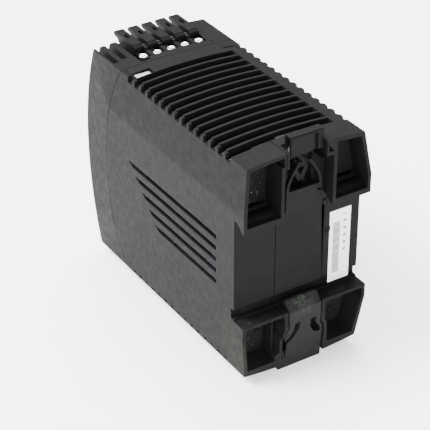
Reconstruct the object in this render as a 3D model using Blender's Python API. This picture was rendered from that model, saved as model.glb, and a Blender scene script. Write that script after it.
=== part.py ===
"""Compact DIN-rail power supply, built as a bench assembly of separate pieces.

Metres, +Z up.  The curved front faces -Y, the rail brackets face +Y and the
louvred side faces +X.  The origin is the middle of the outline on the plane
that the input levers and the latch foot stand on.
"""

import math

import bmesh
import bpy
from mathutils import Matrix, Vector

MM = 0.001

# ---------------------------------------------------------------- driving sizes
WIDTH = 45.0 * MM            # across the rail
HEIGHT = 75.0 * MM           # from crown to crown
DEPTH = 91.0 * MM            # from the rail plane to the furthest point of the front
BRACKET_DEPTH = 5.0 * MM     # how far the brackets stand behind the rail plane
FRONT_BOW = 7.8 * MM         # rise of the curved front
CROWN = 1.2 * MM             # rise of the curved top and bottom
STAND_OFF = 1.9 * MM         # levers and latch foot beyond the crowns
WALL = 1.8 * MM
GAP = 0.3 * MM               # clearance between pieces that touch

# side walls: the louvred side leans in a little, the plain side a lot
LEAN = 0.8 * MM
TAPER = 3.2 * MM
LEAN_TOP = 16.5 * MM
LEAN_BOTTOM = 12.8 * MM
TAPER_TOP = 15.1 * MM
TAPER_BOTTOM = 13.5 * MM
NOSE_LENGTH = 16.6 * MM      # length of the narrowing front
NOSE_INSET = 1.5 * MM        # how much it narrows on each side

# seam between the front cover and the rear shells, an arc seen from the side
SEAM_AT_EDGE = 17.4 * MM     # behind the front corners, at top and bottom
SEAM_RISE = 10.0 * MM        # how far the arc comes forward at mid height

# rail
RAIL_HEIGHT = 35.0 * MM
RAIL_PLAY = 0.5 * MM
RAIL_OFFSET = 0.45 * MM      # rail middle below the housing's middle
RAIL_FLANGE = 1.0 * MM       # thickness of the rail's bent edges
HOOK_DROP = 2.5 * MM         # the upper lip hangs this far in front of the rail
HOOK_LIP = 0.5 * MM
RELIEF = 0.65 * MM           # corner groove between the rail wall and the hook
GROOVE_DEPTH = 1.5 * MM
GROOVE_LIFT = 0.6 * MM
GROOVE_HEIGHT = 3.3 * MM

# rear brackets
BLOCK_DEPTH = 9.7 * MM       # solid rear block, from the back plane inwards
POCKET_DEPTH = 8.0 * MM
FRAME = 1.2 * MM
SIDE_SEAM_X = 8.0 * MM       # where the side cover's rear part ends
CHANNEL_HALF = 8.55 * MM
SHOULDER_DROP = 4.55 * MM    # channel shoulders below the top corners
LINK_WALL = 1.8 * MM         # material left between rail and link

# cooling grille
SLOT_COUNT = 14
SLOT_PITCH = 3.95 * MM
SLOT_WIDTH = 2.9 * MM
SLOT_FIRST = 24.9 * MM       # front edge of the first slot, behind the corners
SLOT_END_PLAIN = 4.8 * MM    # slot end from the plain side's top edge
SLOT_END_LOUVRED = 2.9 * MM
NOTCH_COUNT = 15
NOTCH_FIRST = 21.9 * MM
NOTCH_WIDTH = 2.5 * MM
NOTCH_HEIGHT = 1.9 * MM
NOTCH_HEIGHT_LOW = 0.7 * MM   # the lower edge shows only short ticks
SCALLOP_DEPTH = 1.0 * MM

# louvres in the side cover
LOUVRE_COUNT = 5
LOUVRE_TOP = 30.0 * MM       # highest louvre below the top corners
LOUVRE_PITCH = 3.95 * MM
LOUVRE_HEIGHT = 1.45 * MM
LOUVRE_REAR = 73.5 * MM      # rear ends behind the front corners
LOUVRE_FRONT = 22.2 * MM
LOUVRE_STEP = 3.9 * MM       # each lower louvre starts this much further back

# terminals and their levers
OUTPUT_POLES = 5
OUTPUT_PITCH = 5.08 * MM
OUTPUT_MIDDLE_X = 1.0 * MM
INPUT_POLES = 3
INPUT_PITCH = 7.62 * MM
INPUT_MIDDLE_X = 1.0 * MM
LEVER_WIDTH = 3.38 * MM
LEVER_TIP = 2.6 * MM         # overhang in front of the front corners
LEVER_PIVOT = 9.4 * MM       # pivot behind the front corners
LEVER_BARREL = 1.5 * MM
LEVER_TIP_THICKNESS = 0.6 * MM
LEVER_BELLY = 3.5 * MM
PIN_RADIUS = 0.6 * MM
CLAMP_RADIUS = 1.35 * MM
CLAMP_Y = 13.2 * MM
CLAMP_SUNK = 0.5 * MM        # clamp heads below the crown
CLAMP_LENGTH = 8.0 * MM
CLAMP_WINDOW_X = 3.6 * MM
CLAMP_WINDOW_Y = 4.0 * MM
SADDLE_RISE = 0.35 * MM      # the pin's saddles end this far above its axis
WELL_SIDE = 0.65 * MM        # room beside the outer levers
WELL_DEPTH = 3.1 * MM        # terminal block's top below the crown
LIP_DROP = 1.7 * MM
TERMINAL_HEIGHT = 11.0 * MM
TERMINAL_FRONT = 3.2 * MM
TERMINAL_REAR = 15.6 * MM

# fins beside the output terminals
FIN_BLOCK_ROOM = 0.4 * MM    # between the output levers' well and the corner block
FIN_BLOCK_HEIGHT = 6.0 * MM
FIN_SLOT_DEPTH = 4.2 * MM
FIN_SLOTS = ((1.5 * MM, 3.2 * MM, 12.1 * MM), (4.8 * MM, 6.6 * MM, 11.6 * MM))   # from the louvred side

# marking tile in the top
TILE_X = (14.3 * MM, 19.5 * MM)
TILE_Y = (21.9 * MM, 24.1 * MM)
TILE_THICKNESS = 0.5 * MM
TILE_SUNK = 0.25 * MM

# rating label in the rail recess
LABEL_X = (-19.2 * MM, -11.5 * MM)
LABEL_Z = (1.6 * MM, 27.0 * MM)   # above the ledge
LABEL_THICKNESS = 0.2 * MM
LABEL_BED = 0.25 * MM

# rail release
RELEASE_TRAVEL = 2.6 * MM
BUTTON_HALF = 6.0 * MM
BUTTON_TOP = 4.7 * MM        # above the top corners
BUTTON_Y = (1.5 * MM, 4.9 * MM)   # from the back plane inwards
BUTTON_SKIRT = 1.7 * MM      # its lower edge below the top corners
STEM_HALF = 2.2 * MM
STEM_THICKNESS = 1.6 * MM
STEM_RISE = 0.8 * MM         # the stem starts this far above the button's lower edge
DIAMOND_HALF = 2.8 * MM
DIAMOND_TOP = 6.3 * MM       # below the top corners
DIAMOND_HEIGHT = 6.3 * MM
LINK_HALF = 2.5 * MM
LINK_THICKNESS = 1.5 * MM
LATCH_HALF = 6.0 * MM
LATCH_NOSE_RISE = 2.3 * MM   # nose above the ledge
LATCH_FOOT_X = (-6.8 * MM, 9.2 * MM)
LATCH_FOOT_INSET = 0.9 * MM
LATCH_THICKNESS = 3.7 * MM
TONGUE_LOW = 11.0 * MM
TONGUE_HIGH = 15.0 * MM

# return spring above the rail, a flat plate with two bowed arms
SPRING_HALF = 6.4 * MM
SPRING_THICKNESS = 1.3 * MM
SPRING_Y = 2.5 * MM          # its rear face in front of the back plane
SPRING_BASE = 7.2 * MM       # height of the plain base
SPRING_ARM = 1.1 * MM
SPRING_TOP_GAP = 3.0 * MM    # free travel below the button

# front panel
LED_RADIUS = 1.5 * MM
LED_X = -9.0 * MM
ADJUSTER_X = -15.0 * MM
ADJUSTER_RADIUS = 1.9 * MM
PANEL_Z = 17.5 * MM          # lamp and adjuster above mid height
FRONT_BOARD_Y = 9.5 * MM     # board's front face behind the furthest point of the front

ROUND_STEPS = 20
CROWN_STEPS = 8
BOW_STEPS = 16
OVER = 5.0 * MM              # how far cutters run past a face

# ---------------------------------------------------------------- derived places
Y_BACK = (DEPTH + BRACKET_DEPTH) / 2
Y_APEX = -Y_BACK
Y_CORNER = Y_APEX + FRONT_BOW
Y_RAIL = Y_BACK - BRACKET_DEPTH
Y_BLOCK = Y_BACK - BLOCK_DEPTH
X_LOUVRED = WIDTH / 2
X_PLAIN = -WIDTH / 2
CROWN_LOW = STAND_OFF
CROWN_HIGH = STAND_OFF + HEIGHT
EDGE_LOW = CROWN_LOW + CROWN
EDGE_HIGH = CROWN_HIGH - CROWN
Z_MID = (EDGE_LOW + EDGE_HIGH) / 2
RAIL_MIDDLE = Z_MID - RAIL_OFFSET
LEDGE = RAIL_MIDDLE - (RAIL_HEIGHT + RAIL_PLAY) / 2
HOOK = RAIL_MIDDLE + (RAIL_HEIGHT + RAIL_PLAY) / 2
SHOULDER = EDGE_HIGH - SHOULDER_DROP
Y_SPLIT = Y_BLOCK                    # side cover's rear part starts here
X_SPLIT = X_LOUVRED - WALL - 0.2 * MM
FOOT_PLANE = 0.0


# ---------------------------------------------------------------- materials
def make_material(name, colour, roughness, metallic=0.0):
    """Return a Principled material with the given finish."""
    material = bpy.data.materials.new(name)
    material.use_nodes = True
    shader = material.node_tree.nodes["Principled BSDF"]
    shader.inputs["Base Color"].default_value = (*colour, 1.0)
    shader.inputs["Roughness"].default_value = roughness
    shader.inputs["Metallic"].default_value = metallic
    material.diffuse_color = (*colour, 1.0)
    return material


def make_materials():
    """Return the object's finishes by name."""
    return {
        "housing_black": make_material("housing_black", (0.035, 0.036, 0.036), 0.6),
        "lever_black": make_material("lever_black", (0.03, 0.03, 0.03), 0.5),
        "terminal_black": make_material("terminal_black", (0.02, 0.02, 0.02), 0.65),
        "tinned_metal": make_material("tinned_metal", (0.8, 0.79, 0.76), 0.3, 1.0),
        "steel": make_material("steel", (0.55, 0.55, 0.56), 0.35, 1.0),
        "label_white": make_material("label_white", (0.85, 0.85, 0.83), 0.5),
        "tile_grey": make_material("tile_grey", (0.62, 0.62, 0.6), 0.5),
        "board_green": make_material("board_green", (0.03, 0.14, 0.06), 0.4),
        "ferrite": make_material("ferrite", (0.07, 0.07, 0.075), 0.7),
        "winding_yellow": make_material("winding_yellow", (0.75, 0.6, 0.12), 0.4),
        "capacitor_sleeve": make_material("capacitor_sleeve", (0.02, 0.03, 0.06), 0.35),
        "film_yellow": make_material("film_yellow", (0.7, 0.55, 0.1), 0.4),
        "aluminium": make_material("aluminium", (0.75, 0.76, 0.77), 0.4, 1.0),
        "copper": make_material("copper", (0.72, 0.35, 0.16), 0.3, 1.0),
        "ceramic": make_material("ceramic", (0.8, 0.78, 0.72), 0.5),
        "lamp_green": make_material("lamp_green", (0.1, 0.6, 0.2), 0.2),
        "adjuster_blue": make_material("adjuster_blue", (0.05, 0.15, 0.5), 0.4),
        "adjuster_white": make_material("adjuster_white", (0.8, 0.8, 0.76), 0.4),
    }


# ---------------------------------------------------------------- shape tools
class Workshop:
    """Makes solids, keeps parts and cutters in their own collections."""

    def __init__(self):
        self.parts = self._collection("din_rail_power_supply")
        self.cutters = self._collection("cutters")
        self.materials = make_materials()

    @staticmethod
    def _collection(name):
        collection = bpy.data.collections.new(name)
        bpy.context.scene.collection.children.link(collection)
        return collection

    def part(self, name, mesh, material):
        """Return a visible part with its finish."""
        body = bpy.data.objects.new(name, mesh)
        mesh.materials.clear()
        mesh.materials.append(self.materials[material])
        self.parts.objects.link(body)
        return body

    def tool(self, name, mesh):
        """Return a cutter, which the render and the build leave out."""
        cutter = bpy.data.objects.new(name, mesh)
        cutter.hide_render = True
        cutter.display_type = "WIRE"
        self.cutters.objects.link(cutter)
        return cutter

    def change(self, body, operation, *tools):
        """Add one exact Boolean for each tool to the body."""
        for tool in tools:
            modifier = body.modifiers.new(tool.name, "BOOLEAN")
            modifier.operation = operation
            modifier.object = tool
            modifier.solver = "EXACT"
        return body

    def cut(self, body, *tools):
        """Take the tools away from the body."""
        return self.change(body, "DIFFERENCE", *tools)

    def keep(self, body, *tools):
        """Keep what the body shares with each tool."""
        return self.change(body, "INTERSECT", *tools)

    def add(self, body, *tools):
        """Join the tools to the body."""
        return self.change(body, "UNION", *tools)


def box_mesh(name, *boxes):
    """Return a mesh of one or more boxes, each ((x, x), (y, y), (z, z))."""
    mesh = bpy.data.meshes.new(name)
    form = bmesh.new()
    for spans in boxes:
        lows = Vector([min(span) for span in spans])
        highs = Vector([max(span) for span in spans])
        size = highs - lows
        place = Matrix.Translation((lows + highs) / 2) @ Matrix.Diagonal((*size, 1.0))
        bmesh.ops.create_cube(form, size=1.0, matrix=place)
    form.to_mesh(mesh)
    form.free()
    return mesh


AXIS_FRAMES = {
    "X": Matrix(((0, 0, 1), (1, 0, 0), (0, 1, 0))),    # outline in Y and Z
    "Y": Matrix(((1, 0, 0), (0, 0, -1), (0, 1, 0))),   # outline in X and Z
    "Z": Matrix(((1, 0, 0), (0, 1, 0), (0, 0, 1))),    # outline in X and Y
}


def plate_mesh(name, outlines, axis, span):
    """Return flat outlines extruded over a span of one axis, with holes where they nest."""
    curve = bpy.data.curves.new(name, "CURVE")
    curve.dimensions = "2D"
    curve.fill_mode = "BOTH"
    curve.extrude = abs(span[1] - span[0]) / 2
    for outline in outlines:
        spline = curve.splines.new("POLY")
        spline.points.add(len(outline) - 1)
        for point, place in zip(spline.points, outline):
            point.co = (place[0], place[1], 0.0, 1.0)
        spline.use_cyclic_u = True
    holder = bpy.data.objects.new(name, curve)
    bpy.context.scene.collection.objects.link(holder)
    evaluated = holder.evaluated_get(bpy.context.evaluated_depsgraph_get())
    mesh = bpy.data.meshes.new_from_object(evaluated)
    bpy.data.objects.remove(holder)
    bpy.data.curves.remove(curve)
    frame = AXIS_FRAMES[axis]
    middle = frame @ Vector((0, 0, 1)) * ((span[0] + span[1]) / 2)
    if axis == "Y":
        middle = -middle
    form = bmesh.new()
    form.from_mesh(mesh)
    bmesh.ops.remove_doubles(form, verts=form.verts, dist=1e-7)
    form.transform(Matrix.Translation(middle) @ frame.to_4x4())
    form.normal_update()
    bmesh.ops.recalc_face_normals(form, faces=form.faces)
    form.to_mesh(mesh)
    form.free()
    mesh.name = name
    return mesh


def rod_mesh(name, centre, radius, span, axis, steps=ROUND_STEPS):
    """Return a cylinder about an axis through the centre, over a span along that axis."""
    outline = [(centre[0] + radius * math.cos(2 * math.pi * step / steps),
                centre[1] + radius * math.sin(2 * math.pi * step / steps)) for step in range(steps)]
    return plate_mesh(name, [outline], axis, span)


def mirror_upside_down(mesh):
    """Turn a mesh made for the top into its twin at the bottom."""
    form = bmesh.new()
    form.from_mesh(mesh)
    form.transform(Matrix.Translation((0, 0, 2 * Z_MID)) @ Matrix.Diagonal((1, 1, -1, 1)))
    form.normal_update()
    bmesh.ops.recalc_face_normals(form, faces=form.faces)
    form.to_mesh(mesh)
    form.free()
    return mesh


# ---------------------------------------------------------------- outlines
def crown_height(x, inset=0.0):
    """Return the height of the crowned top at a distance across the housing."""
    left = X_LOUVRED - LEAN
    right = X_PLAIN + TAPER
    share = (x - (left + right) / 2) / ((left - right) / 2)
    return EDGE_HIGH - inset + CROWN * (1 - share * share)


def across(start, end, steps):
    """Return evenly spaced values from start to end."""
    return [start + (end - start) * step / steps for step in range(steps + 1)]


def profile(inset=0.0):
    """Return the housing's outline seen along Y, with its faces moved in by the inset."""
    left, right = X_LOUVRED - inset, X_PLAIN + inset
    top = [(x, crown_height(x, inset)) for x in across(left - LEAN, right + TAPER, CROWN_STEPS)]
    bottom = [(x, 2 * Z_MID - z) for x, z in reversed(top)]
    plain_side = [(right, EDGE_HIGH - TAPER_TOP), (right, EDGE_LOW + TAPER_BOTTOM)]
    louvred_side = [(left, EDGE_LOW + LEAN_BOTTOM), (left, EDGE_HIGH - LEAN_TOP)]
    return top + plain_side + bottom + louvred_side


def bow(inset=0.0):
    """Return the outline seen along X: a curved front and a straight back."""
    half = (EDGE_HIGH - EDGE_LOW) / 2
    radius = (half * half + FRONT_BOW * FRONT_BOW) / (2 * FRONT_BOW)
    reach = half + CROWN + OVER
    arc = [(Y_APEX + radius - math.sqrt((radius - inset) ** 2 - rise * rise), Z_MID + rise)
           for rise in across(-reach, reach, BOW_STEPS)]
    return arc + [(Y_BACK + OVER, Z_MID + reach), (Y_BACK + OVER, Z_MID - reach)]


def plan(inset=0.0):
    """Return the outline seen from above, with its narrowing front."""
    shoulder = Y_APEX + NOSE_LENGTH
    return [(X_LOUVRED - inset, Y_BACK + OVER), (X_PLAIN + inset, Y_BACK + OVER),
            (X_PLAIN + inset, shoulder), (X_PLAIN + inset + NOSE_INSET, Y_APEX),
            (X_PLAIN + inset + NOSE_INSET, Y_APEX - OVER),
            (X_LOUVRED - inset - NOSE_INSET, Y_APEX - OVER),
            (X_LOUVRED - inset - NOSE_INSET, Y_APEX), (X_LOUVRED - inset, shoulder)]


def seam_arc(shift):
    """Return points of the arc between front cover and rear shells, bottom to top."""
    half = (EDGE_HIGH - EDGE_LOW) / 2
    radius = (half * half + SEAM_RISE * SEAM_RISE) / (2 * SEAM_RISE)
    front = Y_CORNER + SEAM_AT_EDGE - SEAM_RISE
    reach = half + CROWN + OVER
    return [(front + radius - math.sqrt(radius * radius - rise * rise) + shift, Z_MID + rise)
            for rise in across(-reach, reach, BOW_STEPS)]


# ---------------------------------------------------------------- shells
class Shells:
    """Front cover, housing body and side cover, cut from one outer form."""

    def __init__(self, shop):
        self.shop = shop
        self.y_span = (Y_APEX - OVER, Y_BACK)
        self.bow_form = shop.tool("bow_form", plate_mesh("bow_form", [bow()], "X", (-WIDTH, WIDTH)))
        self.plan_form = shop.tool(
            "plan_form", plate_mesh("plan_form", [plan()], "Z", (-HEIGHT, 2 * HEIGHT)))
        self.cavity = self.make_cavity()

    def make_cavity(self):
        """Return the hollow inside the shells."""
        shop = self.shop
        cavity = shop.tool(
            "cavity", plate_mesh("cavity", [profile(WALL)], "Y", (Y_APEX - OVER, Y_BLOCK)))
        inner_bow = shop.tool(
            "inner_bow", plate_mesh("inner_bow", [bow(WALL)], "X", (-WIDTH, WIDTH)))
        inner_plan = shop.tool(
            "inner_plan", plate_mesh("inner_plan", [plan(WALL)], "Z", (-HEIGHT, 2 * HEIGHT)))
        return shop.keep(cavity, inner_bow, inner_plan)

    def outer(self, name):
        """Return a part with the whole outer form."""
        body = self.shop.part(
            name, plate_mesh(name, [profile()], "Y", self.y_span), "housing_black")
        return self.shop.keep(body, self.bow_form, self.plan_form)

    def zone(self, name, shift, front):
        """Return everything in front of or behind the seam."""
        arc = seam_arc(shift)
        far = Y_APEX - OVER if front else Y_BACK + OVER
        outline = arc + [(far, arc[-1][1]), (far, arc[0][1])]
        return self.shop.tool(name, plate_mesh(name, [outline], "X", (-WIDTH, WIDTH)))

    def side_zone(self, name, shift, axis_span):
        """Return the L-shaped region of the side cover, seen from above."""
        x_wall, x_rear, y_rear = X_SPLIT + shift, SIDE_SEAM_X + shift, Y_SPLIT + shift
        outline = [(x_rear, Y_BACK + OVER), (x_rear, y_rear), (x_wall, y_rear),
                   (x_wall, Y_APEX - OVER), (WIDTH, Y_APEX - OVER), (WIDTH, Y_BACK + OVER)]
        return self.shop.tool(name, plate_mesh(name, [outline], "Z", axis_span))

    def build(self):
        """Build the three shells."""
        shop = self.shop
        tall = (-HEIGHT, 2 * HEIGHT)
        front_cover = self.outer("front_cover")
        shop.keep(front_cover, self.zone("front_zone", -GAP / 2, True))
        shop.cut(front_cover, self.cavity)
        body = self.outer("housing_body")
        rear_zone = self.zone("rear_zone", GAP / 2, False)
        shop.keep(body, rear_zone)
        shop.cut(body, self.cavity, self.side_zone("side_room", -GAP / 2, tall))
        side_cover = self.outer("side_cover")
        shop.keep(side_cover, rear_zone, self.side_zone("side_form", GAP / 2, tall))
        shop.cut(side_cover, self.cavity)
        self.cut_rear(body, side_cover)
        self.cut_grilles(body, side_cover)
        self.cut_louvres(side_cover)
        self.cut_top_details(body)
        return front_cover, body, side_cover

    def cut_rear(self, body, side_cover):
        """Cut the rail recess, the bracket pockets and the release's channels."""
        shop = self.shop
        lip = Y_BACK - HOOK_LIP
        seat = Y_RAIL + RAIL_FLANGE + GAP
        recess_outline = [(Y_RAIL, LEDGE), (Y_RAIL, HOOK - RELIEF), (Y_RAIL - RELIEF, HOOK - RELIEF),
                          (Y_RAIL - RELIEF, HOOK), (seat, HOOK), (lip, HOOK - HOOK_DROP),
                          (Y_BACK + OVER, HOOK - HOOK_DROP), (Y_BACK + OVER, LEDGE)]
        recess = shop.tool(
            "rail_recess", plate_mesh("rail_recess", [recess_outline], "X", (-WIDTH, WIDTH)))
        groove_low = LEDGE + GROOVE_LIFT
        groove = shop.tool("wall_groove", box_mesh("wall_groove", (
            (-WIDTH, WIDTH), (Y_RAIL - GROOVE_DEPTH, Y_RAIL + OVER),
            (groove_low, groove_low + GROOVE_HEIGHT))))
        for shell in (body, side_cover):
            shop.cut(shell, recess, groove)
        pocket_span = (Y_BACK - POCKET_DEPTH, Y_BACK + OVER)
        shells = {"body": body, "side": side_cover}
        for name, outline, owner in self.pockets():
            shop.cut(shells[owner], shop.tool(name, plate_mesh(name, [outline], "Y", pocket_span)))
        channel = shop.tool("release_channel", box_mesh("release_channel", (
            (-CHANNEL_HALF, SIDE_SEAM_X + OVER), (Y_RAIL, Y_BACK + OVER),
            (HOOK - OVER, SHOULDER))))
        channel_side = shop.tool("release_channel_side", box_mesh("release_channel_side", (
            (SIDE_SEAM_X - OVER, CHANNEL_HALF), (Y_RAIL, Y_BACK + OVER),
            (HOOK - OVER, SHOULDER))))
        half = BUTTON_HALF + GAP
        button_slot = shop.tool("button_slot", box_mesh("button_slot", (
            (-half, half), (Y_BACK - BUTTON_Y[1] - GAP, Y_BACK + OVER),
            (SHOULDER - OVER, CROWN_HIGH + OVER))))
        window_low = EDGE_HIGH - DIAMOND_TOP - DIAMOND_HEIGHT - RELEASE_TRAVEL - GAP
        window_half = DIAMOND_HALF + 1.4 * MM
        window = shop.tool("stem_window", box_mesh("stem_window", (
            (-window_half, window_half), (Y_BLOCK - OVER, Y_RAIL + OVER),
            (window_low, EDGE_HIGH - BUTTON_SKIRT + STEM_RISE + GAP))))
        link_half = LINK_HALF + GAP
        link_room = shop.tool("link_room", box_mesh("link_room", (
            (-link_half, link_half), (Y_BLOCK - OVER, Y_RAIL - LINK_WALL),
            (TONGUE_LOW - RELEASE_TRAVEL - GAP, CROWN_HIGH - WALL))))
        tongue_room = shop.tool("tongue_room", box_mesh("tongue_room", (
            (-link_half, link_half), (Y_BLOCK - OVER, Y_BACK),
            (TONGUE_LOW - RELEASE_TRAVEL - GAP, TONGUE_HIGH + GAP))))
        room_span = (Y_BACK - LATCH_THICKNESS - GAP, Y_BACK + OVER)
        latch_room = shop.tool("latch_room", plate_mesh(
            "latch_room", [latch_outline(GAP, CROWN_LOW - OVER, LEDGE + OVER)], "Y", room_span))
        label_bed = shop.tool("label_bed", box_mesh("label_bed", (
            (LABEL_X[0] - GAP, LABEL_X[1] + GAP), (Y_RAIL - LABEL_BED, Y_RAIL + OVER),
            (LEDGE + LABEL_Z[0] - GAP, LEDGE + LABEL_Z[1] + GAP))))
        shop.cut(body, channel, button_slot, window, link_room, tongue_room, latch_room, label_bed)
        shop.cut(side_cover, channel_side, latch_room)

    def pockets(self):
        """Yield each bracket pocket: its name, its outline and the shell it is cut in."""
        bar_left = CHANNEL_HALF + FRAME
        side_in = X_LOUVRED - FRAME
        low, high = HOOK - FRAME / 2, EDGE_HIGH - FRAME
        louvred_top = [(side_in - LEAN, high), (bar_left, crown_height(bar_left) - FRAME)]
        upper_left = [(bar_left, low), (side_in, low), (side_in, EDGE_HIGH - LEAN_TOP)] + louvred_top
        bar_right = -CHANNEL_HALF - FRAME
        plain_in = X_PLAIN + FRAME
        upper_right = [(bar_right, low), (bar_right, crown_height(bar_right) - FRAME),
                       (plain_in + TAPER, high), (plain_in, EDGE_HIGH - TAPER_TOP), (plain_in, low)]
        floor, roof = EDGE_LOW + 2 * FRAME, LEDGE - FRAME
        latch_left = LATCH_FOOT_X[1] + GAP + FRAME
        lower_left = [(latch_left, floor), (side_in - LEAN, floor),
                      (side_in, EDGE_LOW + LEAN_BOTTOM), (side_in, roof), (latch_left, roof)]
        latch_right = LATCH_FOOT_X[0] - GAP - FRAME
        lower_right = [(latch_right, floor), (latch_right, roof), (plain_in, roof),
                       (plain_in, EDGE_LOW + TAPER_BOTTOM), (plain_in + TAPER, floor)]
        yield "pocket_upper_louvred", upper_left, "side"
        yield "pocket_upper_plain", upper_right, "body"
        yield "pocket_lower_louvred", lower_left, "side"
        yield "pocket_lower_plain", lower_right, "body"

    def cut_grilles(self, body, side_cover):
        """Cut the cooling slots, the notches in the edges and the scallops."""
        shop = self.shop
        x_low = X_PLAIN + TAPER + SLOT_END_PLAIN
        x_high = X_LOUVRED - SLOT_END_LOUVRED
        rows = [Y_CORNER + SLOT_FIRST + SLOT_PITCH * row for row in range(SLOT_COUNT)]
        notch_rows = [Y_CORNER + NOTCH_FIRST + SLOT_PITCH * row for row in range(NOTCH_COUNT)]
        edge = X_LOUVRED - LEAN
        plain_edge = X_PLAIN + TAPER
        for name, low, high, notch in (
                ("top", EDGE_HIGH - 2 * WALL, CROWN_HIGH + OVER, EDGE_HIGH - NOTCH_HEIGHT),
                ("bottom", CROWN_LOW - OVER, EDGE_LOW + 2 * WALL, EDGE_LOW + NOTCH_HEIGHT_LOW)):
            slots = [((x_low, x_high), (y, y + SLOT_WIDTH), (low, high)) for y in rows]
            shop.cut(body, shop.tool(f"slots_{name}", box_mesh(f"slots_{name}", *slots)))
            outside = CROWN_HIGH + OVER if name == "top" else CROWN_LOW - OVER
            notches = [((X_SPLIT - OVER, edge + OVER), (y, y + NOTCH_WIDTH), (notch, outside))
                       for y in notch_rows]
            shop.cut(side_cover, shop.tool(f"notches_{name}", box_mesh(f"notches_{name}", *notches)))
            scallops = [((plain_edge - OVER, plain_edge + SCALLOP_DEPTH), (y, y + NOTCH_WIDTH),
                         (notch, outside)) for y in notch_rows]
            shop.cut(body, shop.tool(f"scallops_{name}", box_mesh(f"scallops_{name}", *scallops)))

    def cut_louvres(self, side_cover):
        """Cut the slanted row of louvres through the side wall."""
        outlines = []
        for row in range(LOUVRE_COUNT):
            middle = EDGE_HIGH - LOUVRE_TOP - LOUVRE_PITCH * row
            low, high = middle - LOUVRE_HEIGHT / 2, middle + LOUVRE_HEIGHT / 2
            front = Y_CORNER + LOUVRE_FRONT + LOUVRE_STEP * row
            rear = Y_CORNER + LOUVRE_REAR
            outlines.append([(front, high), (rear, high), (rear, low), (front + LOUVRE_HEIGHT, low)])
        cutter = plate_mesh("louvres", outlines, "X", (X_LOUVRED - 2 * WALL, X_LOUVRED + OVER))
        self.shop.cut(side_cover, self.shop.tool("louvres", cutter))

    def cut_top_details(self, body):
        """Cut the bed of the marking tile into the top."""
        floor = tile_top() - TILE_THICKNESS - GAP
        bed = self.shop.tool("tile_bed", box_mesh("tile_bed", (
            (TILE_X[0] - GAP, TILE_X[1] + GAP),
            (Y_CORNER + TILE_Y[0] - GAP, Y_CORNER + TILE_Y[1] + GAP),
            (floor, CROWN_HIGH + OVER))))
        self.shop.cut(body, bed)


def tile_top():
    """Return the height of the marking tile's upper face."""
    return crown_height(TILE_X[1]) - TILE_SUNK


def latch_outline(room, low, high):
    """Return the latch's outline seen from behind, widened by some room."""
    foot_low, foot_high = LATCH_FOOT_X
    bend_high, bend_low = EDGE_LOW + 9.6 * MM, EDGE_LOW + 4.6 * MM
    half = LATCH_HALF + room
    return [(half, high), (-half, high), (-half, bend_low + 2 * MM), (foot_low - room, bend_low),
            (foot_low - room, low), (foot_high + room, low), (foot_high + room, bend_low - room),
            (half, bend_high)]


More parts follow.
